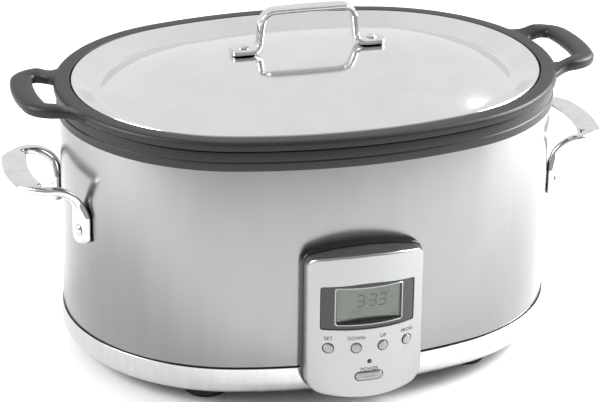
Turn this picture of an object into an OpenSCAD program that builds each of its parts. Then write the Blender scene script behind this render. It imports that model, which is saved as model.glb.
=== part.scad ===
// Oval countertop slow cooker: steel wrapper on a base, heating well, lift-out cast pot,
// domed steel lid, two side handles and a bulged control panel with five push buttons.
// Millimetres, +Z up, front panel towards -Y. The plan outline is a four-arc oval, and
// every ring, wall and rim is a section swept at a stated offset from that outline.

/* [Housing] */
// Length of the steel wrapper over its rounded ends
body_len = 400; // [340:1:480]
// Width of the steel wrapper from front to back
body_wid = 296; // [250:1:360]
// How far the long sides bow out past the end arcs
side_bow = 8; // [5:0.5:14]
// Height of the wrapper's top edge above the table
wrap_top = 202; // [190:1:242]
// Height of the seam between wrapper and base skirt
seam_z = 36.7; // [30:0.1:44]
// Sheet thickness of the wrapper and the heating well
sheet_t = 1; // [0.6:0.1:1.6]
// Gap that shows as the dark seam line
seam_gap = 1; // [0.5:0.1:2]
// How far the base skirt stands out past the wrapper
skirt_reach = 1.2; // [0.6:0.1:2.5]
// Radius with which the skirt turns under
skirt_round = 12; // [6:0.5:16]
// Wall of the base tray
tray_t = 2.2; // [1.6:0.1:3.5]

/* [Collar] */
// Height of the plastic collar above the wrapper
collar_h = 15.3; // [10:0.1:22]
// How far the collar stands out past the wrapper
collar_reach = 2; // [1:0.1:4]
// Width of the collar, inwards from the outline
collar_w = 18; // [15:0.5:24]

/* [Pot] */
// Depth of the pot from its lid seat to its floor
pot_depth = 117; // [80:1:125]
// Wall of the cast pot
pot_t = 3.5; // [2.5:0.1:5]
// Distance of the pot's wall inside the body outline
pot_inset = 21.5; // [21:0.1:30]
// Draft of the pot's wall over its height
pot_draft = 3; // [1:0.1:6]
// Thickness of the pot's rim
rim_t = 7.5; // [6:0.1:10]
// How far the rim stands out past the wrapper
rim_reach = 4; // [3:0.1:8]
// Gap between the collar's top and the rim
rim_gap = 1.2; // [0.8:0.1:2]
// Reach of the pot's handles past the body outline
pot_grip_reach = 37; // [30:0.5:48]
// Width of a pot handle across its legs
pot_grip_w = 97; // [80:1:120]
// Width of a pot handle's finger opening
pot_slot_w = 64; // [50:1:76]

/* [Lid] */
// Distance of the lid's edge inside the body outline
lid_inset = 9.7; // [8:0.1:14]
// Sheet thickness of the lid
lid_t = 1.2; // [0.8:0.1:2]
// Height of the dome above the ring around it
dome_rise = 27.5; // [15:0.5:40]
// Drop of the sloping band inside the lid's edge
band_drop = 9.9; // [6:0.1:12]
// Height of the lid handle above the dome
knob_h = 36.5; // [28:0.5:50]
// Distance between the lid handle's two rivets
knob_pitch = 106; // [90:1:130]
// Width of the lid handle's grip
knob_w = 14; // [10:0.5:20]

/* [Side handles] */
// Reach of a side handle past the wrapper
handle_reach = 45; // [35:0.5:60]
// Height of the grip's top above the table
handle_top = 165; // [150:1:185]
// Distance between a handle's two feet
foot_pitch = 90; // [70:1:110]
// Height of a handle's rivets above the table
rivet_z = 128; // [110:1:140]
// Thickness of the handle's bar
bar_t = 6.5; // [5:0.1:9]
// Width of a handle's leg
leg_w = 10; // [8:0.5:14]
// Width of a handle's foot
pad_w = 20; // [16:0.5:26]

/* [Control panel] */
// Width of the silver face
panel_w = 94; // [88:1:110]
// Height of the arched top at its middle
panel_top = 140; // [134:1:150]
// Height of the panel's lower edge
panel_low = 18; // [15:0.5:22]
// How far the face stands out past the wrapper at its middle
panel_proud = 28; // [24:0.5:34]
// Radius of the face's bulge in plan
face_r = 85; // [75:1:110]
// Wall of the face and its frame
face_t = 2.2; // [1.6:0.1:3]
// Diameter of a round button's cap
cap_d = 7.4; // [6:0.1:8.4]
// Gap around each button
cap_gap = 0.6; // [0.3:0.05:0.9]
// How far each button can be pressed
press = 0.8; // [0.5:0.1:1]
// Height of the row of round buttons
row_z = 62.4; // [58:0.1:68]
// Height of the power button
power_z = 37.9; // [34:0.1:42]
// Height of the power light
light_z = 50.2; // [46:0.1:54]
// Width of the display's clear window
lcd_w = 50.8; // [40:0.1:58]
// Height of the display's clear window
lcd_h = 28; // [20:0.1:30]

/* [Base] */
// Height of the rubber feet below the skirt
foot_h = 12; // [10:0.5:16]
// Diameter of the rubber feet
foot_d = 36; // [28:0.5:44]
// Outer diameter of the cord gland's body
gland_d = 16; // [12:0.5:22]
// Radius of the gland's bore for the mains lead
gland_bore_r = 4; // [3:0.1:5]
// Height of the cord gland
gland_z = 60; // [50:1:80]

/* [Hidden] */
$fn = 144;

// Oval outline: end arcs about (+-end_c, 0), side arcs about (0, -+side_c)
half_l = body_len / 2;
half_w = body_wid / 2;
end_r = half_w - side_bow;
end_c = half_l - end_r;
side_r = (end_c * end_c + half_w * half_w - end_r * end_r) / (2 * side_bow);
side_c = side_r - half_w;
meet_a = atan2(side_c, end_c);

// Heights that follow from the sizes above
wrap_low = seam_z + seam_gap / 2;
collar_top = wrap_top + collar_h;
rim_low = collar_top + rim_gap;
rim_top = rim_low + rim_t;
seat_z = rim_top - 3.5;
lid_top = rim_top + 0.4;
ring_z = lid_top - band_drop;
dome_top = ring_z + dome_rise;
wall_z = rim_low - 3.5;
pot_floor = wall_z - pot_depth;
pot_base = pot_floor - pot_t - 1;
well_floor = pot_base - 2.6;
well_base = well_floor - sheet_t;
floor_z = foot_h + sheet_t + 0.4;
tray_top = floor_z + tray_t;
tray_out = -sheet_t - 0.2;
tray_wall_top = seam_z + 3.5;
base_board_y = -30;
base_hole_x = 52;
base_hole_y = 27;
board_seat = tray_top + 7.9;
parts_z = board_seat + 1.6;
lead_x = 0;
lead_y = -57;
lead_gap = 12;
lead_r = 1.1;

// Offsets from the outline, inwards negative
wrap_in = -sheet_t;
well_in = -(pot_inset - 2.5);
well_out = well_in + sheet_t;
band_t = 3;
band_gap = 0.4;
wool_t = 6;
band_low = well_floor + 14;
band_high = band_low + 60;
lid_bead_r = 1.95;
band_in = -(lid_inset + 17.3);
ring_in = band_in - 6;

// Pot grips: rise above the rim, and width of the bar outside the finger opening
grip_lift = 5;
grip_bar = 16.5;

// Collar's section: step near its top, groove below the step, and its walls
collar_step = 1.2;
groove = 0.8;
collar_t = 3;
collar_wall = 2.4;
collar_lap = 5;

// Control panel
face_c = -(half_w + panel_proud) + face_r;
arch_rise = 5.5;
corner_r = 9;
frame_band = 8;
frame_grow = 1.5;
hole_d = cap_d + 2 * cap_gap;
outer_x = 31.6;
inner_x = 10.7;
power_w = 21.8;
power_h = 6.4;
light_d = 3.2;
cap_proud = 1.2;
flange_lip = 1.5;
flange_t = 1.2;
board_y = -(half_w + panel_proud) + 18;
board_t = 1.6;
board_half = 40;
board_low = 32;
board_high = 120;
board_hole = 4;
boss_x = 38;
ribbon_w = 20;
boss_z = [44, 126];
switch_h = 4;
stem_gap = 0.2;
window_w = 75;
window_low = 78;
window_high = 113;
window_rise = 3.5;
lcd_z = (window_low + window_high) / 2 + 1.4;
lcd_y = -(half_w + panel_proud) + 6;

// Handles, rivets and feet
pad_t = 7;
pad_low = rivet_z - 11;
pad_high = rivet_z + 14;
rivet_r = 2.5;
rivet_head_r = 4.6;
rivet_head_h = 2.6;
foot_a = asin(foot_pitch / 2 / end_r);
skin = 0.1;
foot_x = half_l - 92;
foot_y = half_w - 56;
knob_plate = 5.2;
post_x = half_l - 80;
post_y = 40;
post_d = 12;
screw_r = 1.6;

// Origin under the middle of the whole object: front reach is the panel, rear the gland
gland_proud = 6;
shift_y = (panel_proud + cap_proud - gland_proud) / 2;

// ---- shapes ----

function unit(v) = v / norm(v);
// Points of a round of radius r at corner p between the points a and b
function corner(a, p, b, r, n) =
    let (u = unit(a - p), v = unit(b - p), h = acos(u * v) / 2)
    let (c = p + unit(u + v) * r / sin(h), s = p + u * r / tan(h), e = p + v * r / tan(h))
    let (a0 = atan2(s[1] - c[1], s[0] - c[0]), a1 = atan2(e[1] - c[1], e[0] - c[0]))
    let (d = a1 - a0, t = d > 180 ? d - 360 : d < -180 ? d + 360 : d)
    [for (i = [0:n]) c + r * [cos(a0 + t * i / n), sin(a0 + t * i / n)]];
// Closed outline whose corners [x, y, radius] are rounded
function rounded(q, n = 6) = let (m = len(q))
    [for (i = [0:m - 1]) let (p = [q[i][0], q[i][1]])
        each q[i][2] == 0 ? [p] : corner([q[(i + m - 1) % m][0], q[(i + m - 1) % m][1]], p,
            [q[(i + 1) % m][0], q[(i + 1) % m][1]], q[i][2], n)];
// Front-to-back place of the bulged face, r being its radius, at a distance x from the middle
function face_y(x, r = face_r) = face_c - sqrt(r * r - x * x);
// Front-to-back place of the wrapper's front at a distance x from the middle
function front_y(x, d = 0) = side_c - sqrt((side_r + d) * (side_r + d) - x * x);

// Sweeps a section around the oval: x is the offset from the outline and y the height
module oval_sweep() union() {
    for (turn = [0, 180]) rotate(turn) translate([end_c, 0, 0])
        rotate_extrude(angle = 2 * meet_a, start = -meet_a) translate([end_r, 0]) children();
    for (turn = [0, 180]) rotate(turn) translate([0, -side_c, 0])
        rotate_extrude(angle = 180 - 2 * meet_a, start = meet_a) translate([side_r, 0]) children();
}
// Fills the lens that a section reaching inwards by end_r leaves open in the middle
module oval_core(z, h) {
    intersection_for (s = [-1, 1]) translate([0, s * side_c, z])
        cylinder(r = side_r - end_r + 0.02, h = h);
}
// Everything within an offset d of the front side arc, as a cutter
module front_cut(d, z, h) translate([0, side_c, z]) cylinder(r = side_r + d, h = h);
// Bulged slab behind the panel's face, between radii
module bulge(r_out, r_in) {
    translate([0, face_c, 0]) difference() {
        cylinder(r = r_out, h = wrap_top);
        translate([0, 0, -1]) cylinder(r = r_in, h = wrap_top + 2);
    }
}
// Runs a front-view outline (x, z) back from the front of the panel
module from_front(deep) translate([0, face_y(0) - 1 + deep, 0]) rotate([90, 0, 0])
    linear_extrude(deep) children();
// Rounded panel outline with an arched top and a bowed lower edge
module panel_outline(g) {
    w = panel_w / 2 + g;
    t = panel_top + g;
    s = t - arch_rise;
    polygon(rounded([[-w, s, corner_r], [-w * 0.5, s + arch_rise * 0.76, 60],
        [0, t + arch_rise * 0.02, 120], [w * 0.5, s + arch_rise * 0.76, 60], [w, s, corner_r],
        [w, panel_low - g + 6, 14], [0, panel_low - g - 1, 200], [-w, panel_low - g + 6, 14]]));
}
module window_outline(g) {
    w = window_w / 2 + g;
    polygon(rounded([[-w, window_high + g, 1.5], [0, window_high + g + window_rise, 120],
        [w, window_high + g, 1.5], [w, window_low - g, 1.5], [-w, window_low - g, 1.5]]));
}
module screw(r, len, head_r, head_h) {
    cylinder(r = r, h = len);
    translate([0, 0, -head_h]) cylinder(r = head_r, h = head_h);
}
module dome_head(r, h) {
    s = (r * r + h * h) / (2 * h);
    intersection() {
        translate([0, 0, h - s]) sphere(r = s);
        cylinder(r = r + 1, h = h + 1);
    }
}
module ring(r_out, r_in, h) difference() {
    cylinder(r = r_out, h = h);
    translate([0, 0, -1]) cylinder(r = r_in, h = h + 2);
}
module corners4(x, y) for (sx = [-1, 1], sy = [-1, 1]) translate([sx * x, sy * y, 0]) children();
module place() translate([0, shift_y, 0]) children();

// ---- housing ----

module housing_shell() color("silver") place() difference() {
    oval_sweep() translate([wrap_in, wrap_low]) square([sheet_t, wrap_top - wrap_low]);
    for (end = [0, 180], s = [-1, 1]) rotate(end) translate([end_c, 0, rivet_z]) rotate(s * foot_a)
        rotate([0, 90, 0]) cylinder(r = rivet_r + skin, h = end_r + 5);
    panel_screw_places() rotate([90, 0, 0]) translate([0, 0, -10]) cylinder(r = screw_r + 0.2, h = 30);
    translate([-15, -half_w - 5, 46]) cube([30, 20, 8]);
    translate([0, half_w + 5, gland_z]) rotate([90, 0, 0]) cylinder(d = gland_d + 2 * skin, h = 20);
}

module base_skirt() color("lightgray") place() oval_sweep() difference() {
    skirt_profile(0);
    skirt_profile(sheet_t);
}
// Section of the skirt, g being how far its inner face lies inside
module skirt_profile(g) {
    top = seam_z - seam_gap / 2 + (g > 0 ? 1 : 0);
    lip = -skirt_round - 3;
    polygon(rounded([[skirt_reach - g, top, 0], [skirt_reach - g, foot_h + g, skirt_round - g],
        [lip - (g > 0 ? 1 : 0), foot_h + g, 0], [lip - (g > 0 ? 1 : 0), top, 0]], 10));
}

module base_tray() color("dimgray") place() difference() {
    union() {
        oval_sweep() {
            translate([-end_r, floor_z]) square([end_r - skirt_round, tray_t]);
            polygon(rounded([[-skirt_round - 2, floor_z, 0], [tray_out, floor_z, skirt_round - 1],
                [tray_out, tray_wall_top, 0], [tray_out - tray_t, tray_wall_top, 0],
                [tray_out - tray_t, tray_top, skirt_round - 1 - tray_t], [-skirt_round - 2, tray_top, 0]]));
        }
        oval_core(floor_z, tray_t);
        translate([0, base_board_y, tray_top - 0.1]) corners4(base_hole_x, base_hole_y)
            cylinder(r = 4, h = 8);
    }
    translate([0, base_board_y, floor_z + 1]) corners4(base_hole_x, base_hole_y) cylinder(r = 1.2, h = 30);
    corners4(foot_x, foot_y) cylinder(r = screw_r + 0.2, h = 40);
    corners4(post_x, post_y) cylinder(r = screw_r + 0.4, h = 40);
    for (i = [-5:5]) translate([i * 12 - 2, 50, floor_z - 1]) cube([4, 40, tray_t + 2]);
}

module rim_collar() color("#3b3d3f") place() oval_sweep() {
    out = collar_reach;
    step = collar_reach - collar_step;
    inner = -collar_w;
    under = collar_top - collar_t;
    polygon([[out - 0.4, wrap_top], [out, wrap_top + 0.4], [out, wrap_top + 6.4],
        [out - groove, wrap_top + 6.8],
        [out - groove, collar_top - 5.6], [step, collar_top - 5.2], [step, collar_top - 0.6],
        [step - 0.6, collar_top], [-4, collar_top], [-4, rim_low], [-8, rim_low], [-8, collar_top],
        [inner + 5.5, collar_top], [inner, collar_top - 8.8], [inner, wrap_top - 2],
        [inner + collar_wall, wrap_top - 2], [inner + collar_wall, collar_top - 8.8], [inner + 6, under],
        [-collar_lap, under], [-collar_lap, wrap_top - 7], [wrap_in - 0.3, wrap_top - 7],
        [wrap_in - 0.3, wrap_top]]);
}

// ---- heating well ----

module heating_well() color("gainsboro") place() union() {
    oval_sweep() difference() {
        well_profile(0);
        well_profile(sheet_t);
    }
    oval_core(well_base, sheet_t);
    oval_sweep() translate([well_in, wrap_top - 5]) square([12, sheet_t]);
}
module well_profile(g) {
    top = wrap_top - 4 + (g > 0 ? 1 : 0);
    polygon(rounded([[-end_r, well_base + g, 0], [well_out - g, well_base + g, 12 - g],
        [well_out - g, top, 0], [-end_r, top, 0]]));
}
module heater_band() color("#b08d57") place() oval_sweep()
    translate([well_out + band_gap, band_low]) square([band_t, band_high - band_low]);
module heater_clamp() color("silver") place() {
    d0 = well_out + band_gap + band_t + 0.1;
    for (z = [band_low + 10, band_high - 18]) oval_sweep() translate([d0, z]) square([0.8, 8]);
    for (z = [band_low + 14, band_high - 14])
        translate([8, half_w + d0 + 2.1, z]) cube([14, 4, 8], center = true);
}
module insulation_wrap() color("khaki") place() difference() {
    oval_sweep() translate([wrap_in - 0.5 - wool_t, band_low - 4])
        square([wool_t, band_high - band_low + 8]);
    for (end = [0, 180], s = [-1, 1]) rotate(end) translate([end_c, 0, rivet_z]) rotate(s * foot_a)
        rotate([0, 90, 0]) cylinder(r = 9, h = end_r + 5);
    panel_screw_places() rotate([90, 0, 0]) translate([0, 0, -20]) cylinder(r = 6, h = 40);
}
module well_posts() color("gray") place() corners4(post_x, post_y) translate([0, 0, tray_top])
    difference() {
        cylinder(d = post_d, h = well_base - tray_top);
        translate([0, 0, -1]) cylinder(r = screw_r + skin, h = 21);
    }
module post_screws() color("silver") place() corners4(post_x, post_y) translate([0, 0, floor_z])
    screw(screw_r, 16, 4, 2.4);
module temperature_sensor() color("black") place() translate([0, 0, well_base - 8]) {
    cylinder(r = 7, h = 8);
    translate([0, 0, -5]) cylinder(r = 3, h = 6);
}
module thermal_fuse() color("whitesmoke") place() translate([60, 20, well_base - 5]) {
    translate([-14, -5, 4]) cube([28, 10, 1]);
    translate([-10, 0, 2.6]) rotate([0, 90, 0]) cylinder(r = 2, h = 20);
    for (x = [-8, 6]) translate([x, -3, 1]) cube([2, 6, 3.5]);
}

// ---- control panel ----

module panel_screw_places() for (x = [-boss_x, boss_x], z = boss_z)
    translate([x, front_y(boss_x), z]) children();

module control_frame() color("#17181a") place() difference() {
    union() {
        difference() {
            from_front(40) panel_outline(frame_grow);
            from_front(60) panel_outline(frame_grow - face_t);
        }
        panel_screw_places() translate([0, 2, 0]) rotate([90, 0, 0]) cylinder(r = 4, h = 12);
        for (s = [-1, 1], z = boss_z) translate([s * (boss_x + 4.5), front_y(boss_x) - 5, z])
            cube([9, 6, 4], center = true);
    }
    difference() {
        translate([-panel_w, -2 * half_w, 0]) cube([2 * panel_w, 2 * half_w, wrap_top]);
        front_cut(frame_band, -1, wrap_top + 2);
    }
    front_cut(skin, seam_z + 1, wrap_top);
    front_cut(skirt_reach + skin, 0, seam_z + 1.2);
    panel_screw_places() rotate([90, 0, 0]) translate([0, 0, -10]) cylinder(r = screw_r - 0.3, h = 20);
}
module control_face() color("#d4d5d6") place() difference() {
    intersection() {
        from_front(60) panel_outline(0);
        translate([0, face_c, 0]) cylinder(r = face_r, h = wrap_top);
    }
    front_cut(frame_band + 0.2, 0, wrap_top);
    intersection() {
        from_front(70) panel_outline(-face_t);
        translate([0, face_c, 0]) cylinder(r = face_r - face_t, h = wrap_top);
    }
    from_front(40) window_outline(0);
    for (x = [-outer_x, -inner_x, inner_x, outer_x]) translate([x, face_c, row_z])
        rotate([90, 0, 0]) cylinder(d = hole_d, h = face_r + 5);
    translate([0, face_c, light_z]) rotate([90, 0, 0]) cylinder(d = light_d + 0.2, h = face_r + 5);
    translate([0, face_c, power_z]) rotate([90, 0, 0])
        slot(power_w + 2 * cap_gap, power_h + 2 * cap_gap, face_r + 5);
}
// Oblong bar of length w and height h
module slot(w, h, deep) {
    for (s = [-1, 1]) translate([s * (w - h) / 2, 0, 0]) cylinder(d = h, h = deep);
    translate([-(w - h) / 2, -h / 2, 0]) cube([w - h, h, deep]);
}
module display_surround() color("#4a4c4e") place() difference() {
    union() {
        intersection() {
            from_front(40) window_outline(-0.15);
            bulge(face_r - 0.6, face_r - 3.6);
        }
        intersection() {
            from_front(40) window_outline(2);
            bulge(face_r - face_t - 0.1, face_r - face_t - 1.4);
        }
    }
    translate([-lcd_w / 2, face_y(0) - 5, lcd_z - lcd_h / 2]) cube([lcd_w, 30, lcd_h]);
    translate([-lcd_w / 2 - 2.2, lcd_y - skin, lcd_z - lcd_h / 2 - 1.7])
        cube([lcd_w + 4.4, 30, lcd_h + 3.4]);
}
module display_lens() color([0.7, 0.75, 0.7, 0.5]) place()
    translate([-lcd_w / 2 - 1.4, lcd_y, lcd_z - lcd_h / 2 - 1]) cube([lcd_w + 2.8, 1, lcd_h + 2]);
module lcd_module() color("#7d8a7c") place()
    translate([-lcd_w / 2 - 2, lcd_y + 1, lcd_z - lcd_h / 2 - 1.5]) {
        cube([lcd_w + 4, 4, lcd_h + 3]);
        for (x = [4, lcd_w - 2]) translate([x, 3, 4]) cube([2, board_y - lcd_y - 4, 2]);
    }
module power_light() color("darkred") place() translate([0, board_y, light_z]) rotate([90, 0, 0])
    cylinder(d = light_d, h = board_y - face_y(0) - 0.3);
module button_places() {
    for (x = [-outer_x, -inner_x, inner_x, outer_x]) translate([x, 0, row_z]) children();
    translate([0, 0, power_z]) children();
}
module button_switches() color("black") place() button_places() {
    translate([-3, board_y - switch_h + 1, -3]) cube([6, switch_h - 1, 6]);
    translate([0, board_y, 0]) rotate([90, 0, 0]) cylinder(r = 1.5, h = switch_h);
}
module board_hole_places() for (s = [-1, 1], z = [board_low + board_hole, board_high - board_hole])
    translate([s * (board_half - board_hole), board_y + board_t, z]) children();
module control_board() color("darkgreen") place() difference() {
    translate([-board_half, board_y, board_low]) cube([2 * board_half, board_t, board_high - board_low]);
    board_hole_places() translate([0, 2, 0]) rotate([90, 0, 0]) cylinder(r = screw_r + 0.2, h = 5);
    panel_screw_places() rotate([90, 0, 0]) cylinder(r = 5, h = 30);
}
module board_screws() color("silver") place() board_hole_places()
    rotate([90, 0, 0]) screw(screw_r, 6, 3, 1.6);
module panel_screws() color("silver") place() panel_screw_places() translate([0, 1.6, 0])
    rotate([90, 0, 0]) screw(screw_r - 0.3, 9, 3, 2);
module control_ribbon() color("lightsteelblue") place() {
    turn_y = -100;
    low = tray_top + 11.5;
    high = 50;
    translate([-ribbon_w / 2, board_y + board_t, high - 1]) cube([ribbon_w, turn_y - board_y - board_t, 1]);
    translate([-ribbon_w / 2, turn_y, low]) cube([ribbon_w, 1, high - low]);
    translate([-ribbon_w / 2, turn_y, low]) cube([ribbon_w, 30, 1]);
}

// A button: proud cap, lip behind the face and a stem that reaches the switch
module round_button(x) color("#c3c5c7") place() translate([x, 0, row_z]) rotate([-90, 0, 0])
    button_body(face_y(abs(x)) - cap_proud, face_y(abs(x) + cap_d / 2 + flange_lip, face_r - face_t) + 0.3)
    circle(d = cap_d);
module button_body(y0, y1) {
    translate([0, 0, y0]) linear_extrude(y1 - y0 + 0.1) children();
    translate([0, 0, y1]) cylinder(d = cap_d + 2 * flange_lip, h = flange_t);
    translate([0, 0, y1]) cylinder(r = 1.6, h = board_y - switch_h - press - stem_gap - y1);
}
module set_button() round_button(-outer_x);
module down_button() round_button(-inner_x);
module up_button() round_button(inner_x);
module program_button() round_button(outer_x);
module power_button() color("#c3c5c7") place() translate([0, 0, power_z]) {
    y1 = face_y(power_w / 2 + flange_lip, face_r - face_t) + 0.3;
    translate([0, y1 + 0.1, 0]) rotate([90, 0, 0]) slot(power_w, power_h, y1 + 0.1 - face_y(0) + cap_proud);
    translate([0, y1 + flange_t, 0]) rotate([90, 0, 0])
        slot(power_w + 2 * flange_lip, power_h + 2 * flange_lip, flange_t);
    translate([0, board_y - switch_h - press - stem_gap, 0]) rotate([90, 0, 0])
        cylinder(r = 1.6, h = board_y - switch_h - press - stem_gap - y1 - 0.2);
}

// ---- base electrics ----

module power_board() color("darkgreen") place() translate([0, base_board_y, board_seat]) difference() {
    translate([-60, -35, 0]) cube([120, 70, board_t]);
    corners4(base_hole_x, base_hole_y) translate([0, 0, -1]) cylinder(r = screw_r, h = 5);
}
module power_board_screws() color("silver") place() translate([0, base_board_y, parts_z])
    corners4(base_hole_x, base_hole_y) mirror([0, 0, 1]) screw(1.2, 7, 2.6, 1.8);
module transformer() color("goldenrod") place() translate([-38, -42, parts_z]) {
    cube([34, 28, 26]);
    translate([5, -3, 4]) cube([24, 34, 18]);
}
module relay() color("royalblue") place() translate([6, -28, parts_z]) cube([19, 15, 15]);
module terminal_block() color("seagreen") place() translate([lead_x - 6, lead_y - 5, parts_z]) difference() {
    cube([lead_gap + 12, 10, 11]);
    for (x = [0, lead_gap]) translate([x + 6, 5, 4]) cylinder(r = lead_r + 0.1, h = 10);
}
module heater_leads() color("white") place() for (x = [lead_x, lead_x + lead_gap]) {
    y1 = -(half_w + well_out + band_gap + band_t / 2);
    z0 = parts_z + 4;
    z1 = well_base - 8;
    translate([x, lead_y, z0]) cylinder(r = lead_r, h = z1 - z0);
    translate([x, lead_y, z1]) sphere(r = lead_r);
    translate([x, lead_y, z1]) rotate([90, 0, 0]) cylinder(r = lead_r, h = lead_y - y1);
    translate([x, y1, z1]) sphere(r = lead_r);
    translate([x, y1, z1]) cylinder(r = lead_r, h = band_low - z1);
}
module cord_gland() color("black") place() translate([0, half_w, gland_z]) rotate([-90, 0, 0])
    difference() {
        union() {
            translate([0, 0, skin]) cylinder(d1 = gland_d + 6, d2 = gland_d, h = gland_proud - skin);
            translate([0, 0, -14]) cylinder(d = gland_d, h = 15);
        }
        translate([0, 0, -20]) cylinder(r = gland_bore_r, h = 40);
    }
module gland_nut() color("dimgray") place() translate([0, half_w + wrap_in - 0.2, gland_z])
    rotate([90, 0, 0]) difference() {
        cylinder(d = gland_d + 9, h = 4, $fn = 6);
        translate([0, 0, -1]) cylinder(d = gland_d + 2 * skin, h = 6);
    }

// ---- feet ----

module rubber_foot(sx, sy) color("#1d1d1d") place() translate([sx * foot_x, sy * foot_y, 0]) difference() {
    union() {
        cylinder(d1 = foot_d - 3, d2 = foot_d, h = 3);
        translate([0, 0, 3]) cylinder(d = foot_d, h = foot_h - 3);
        translate([0, 0, foot_h]) cylinder(d = foot_d - 10, h = floor_z - foot_h);
    }
    translate([0, 0, -1]) cylinder(r = 5, h = 7);
    translate([0, 0, -1]) cylinder(r = screw_r + 0.2, h = 30);
}
module front_left_foot() rubber_foot(-1, -1);
module front_right_foot() rubber_foot(1, -1);
module rear_left_foot() rubber_foot(-1, 1);
module rear_right_foot() rubber_foot(1, 1);
module foot_screws() color("silver") place() corners4(foot_x, foot_y) translate([0, 0, 6])
    screw(screw_r, 16, 4, 2.4);

// ---- side handles ----

// Section of a side handle: foot up the wrapper, round bend, flat grip plate
module handle_section() {
    polygon(rounded([[skin, pad_low, 1.5], [pad_t, pad_low, 1.5], [pad_t, handle_top - bar_t, 26 - bar_t],
        [handle_reach, handle_top - bar_t, 3], [handle_reach, handle_top, 3], [skin, handle_top, 26]], 10));
}
module handle_sweep() translate([end_c, 0, 0]) rotate_extrude(angle = 60, start = -30)
    translate([end_r, 0]) children();
module right_handle_solid() difference() {
    intersection() {
        handle_sweep() handle_section();
        union() {
            handle_plan();
            for (s = [-1, 1]) foot_block(s);
        }
    }
    for (s = [-1, 1]) translate([end_c, 0, rivet_z]) rotate(s * foot_a) rotate([0, 90, 0])
        cylinder(r = rivet_r + skin, h = end_r + 30);
}
// Plan of the loop: two legs and a grip plate around the finger opening
module handle_plan() translate([0, 0, pad_low - 1]) linear_extrude(handle_top) difference() {
    leg_y = foot_pitch / 2 + leg_w / 2;
    hole_y = foot_pitch / 2 - leg_w / 2;
    polygon(rounded([[half_l - 40, leg_y, 0], [half_l - 40, -leg_y, 0], [half_l + handle_reach, -leg_y, 13],
        [half_l + handle_reach + 3, 0, 80], [half_l + handle_reach, leg_y, 13]]));
    polygon(rounded([[half_l - 41, hole_y, 0], [half_l - 41, -hole_y, 0],
        [half_l + handle_reach - 18, -hole_y, 6], [half_l + handle_reach - 20, 0, 60],
        [half_l + handle_reach - 18, hole_y, 6]]));
}
// Wider foot around one rivet
module foot_block(s) translate([half_l - 40, s * foot_pitch / 2, 0]) rotate([90, 0, 90]) linear_extrude(46)
    polygon(rounded([[-pad_w / 2, pad_low - 1, 5], [pad_w / 2, pad_low - 1, 5], [pad_w / 2, pad_high, 4],
        [leg_w / 2, pad_high + 12, 6], [-leg_w / 2, pad_high + 12, 6], [-pad_w / 2, pad_high, 4]]));
module left_side_handle() color("gainsboro") place() mirror([1, 0, 0]) right_handle_solid();
module right_side_handle() color("gainsboro") place() right_handle_solid();
module right_rivets() for (s = [-1, 1]) translate([end_c, 0, rivet_z]) rotate(s * foot_a)
    translate([end_r + pad_t, 0, 0]) rotate([0, 90, 0]) {
        dome_head(rivet_head_r, rivet_head_h);
        translate([0, 0, -pad_t - sheet_t - 2.4]) cylinder(r = rivet_r, h = pad_t + sheet_t + 2.5);
    }
module left_handle_rivets() color("whitesmoke") place() mirror([1, 0, 0]) right_rivets();
module right_handle_rivets() color("whitesmoke") place() right_rivets();
module rivet_washers() color("gray") place() for (end = [0, 180], s = [-1, 1]) rotate(end)
    translate([end_c, 0, rivet_z]) rotate(s * foot_a) translate([end_r + wrap_in - 2.3, 0, 0])
        rotate([0, 90, 0]) ring(6.5, rivet_r + skin / 2, 1.5);

// ---- pot ----

module insert_pot() color("#46484b") place() union() {
    oval_sweep() polygon(pot_section());
    oval_core(pot_base, pot_floor - pot_base);
}
// Section of the pot: floor, wall, flared shoulder, rim and the sloping lid seat
function pot_section() = let (bot = -pot_inset - pot_draft, wall = -pot_inset) rounded([
    [-end_r, pot_base, 0], [bot, pot_base, 20], [wall, wall_z - 8, 6], [wall + 6, rim_low - 2.5, 0],
    [wall + 6, rim_low, 0], [rim_reach, rim_low, 1.5], [rim_reach, rim_top, 3],
    [-lid_inset + 1, rim_top, 0.8], [-lid_inset + 1, seat_z, 0], [-lid_inset - 2.5, seat_z, 0],
    [wall - pot_t, wall_z, 0], [bot - pot_t, pot_floor, 17], [-end_r, pot_floor, 0]]);
// One grip of the pot: a rising loop around a finger opening, with legs that flare into the rim
module pot_grip() intersection() {
    low = rim_low + 2.5;
    high = rim_top + grip_lift;
    translate([end_c, 0, 0]) rotate_extrude(angle = 70, start = -35) translate([end_r, 0])
        polygon(rounded([[-6, rim_low, 0], [10, rim_low, 10], [18, low, 10], [pot_grip_reach, low, 4.5],
            [pot_grip_reach, high, 4], [20, high, 20], [6, rim_top, 12], [-6, rim_top, 0]]));
    translate([0, 0, rim_low - 1]) linear_extrude(40) difference() {
        grip_plan();
        translate([end_c, 0]) circle(r = end_r + rim_reach + skin);
        slot_plan();
    }
}
module grip_plan() {
    w = pot_grip_w / 2;
    tip = half_l + pot_grip_reach;
    polygon(rounded([[half_l - 30, w + 12, 0], [half_l - 30, -w - 12, 0], [half_l - 9, -w - 3, 14],
        [half_l + 12, -w + 1, 20], [tip, -w - 1, 20], [tip + 6, 0, 60], [tip, w + 1, 20],
        [half_l + 12, w - 1, 20], [half_l - 9, w + 3, 14]]));
}
module slot_plan() {
    w = pot_slot_w / 2;
    tip = half_l + pot_grip_reach - grip_bar;
    polygon(rounded([[half_l - 30, w, 0], [half_l - 30, -w, 0], [tip, -w, 6],
        [tip + 1, 0, 60], [tip, w, 6]]));
}
module left_pot_grip() color("#46484b") place() mirror([1, 0, 0]) pot_grip();
module right_pot_grip() color("#46484b") place() pot_grip();

// ---- lid ----

crown = 2;
dome_span = end_r + ring_in - crown;
dome_r = (dome_span * dome_span + dome_rise * dome_rise) / (2 * dome_rise);
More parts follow.
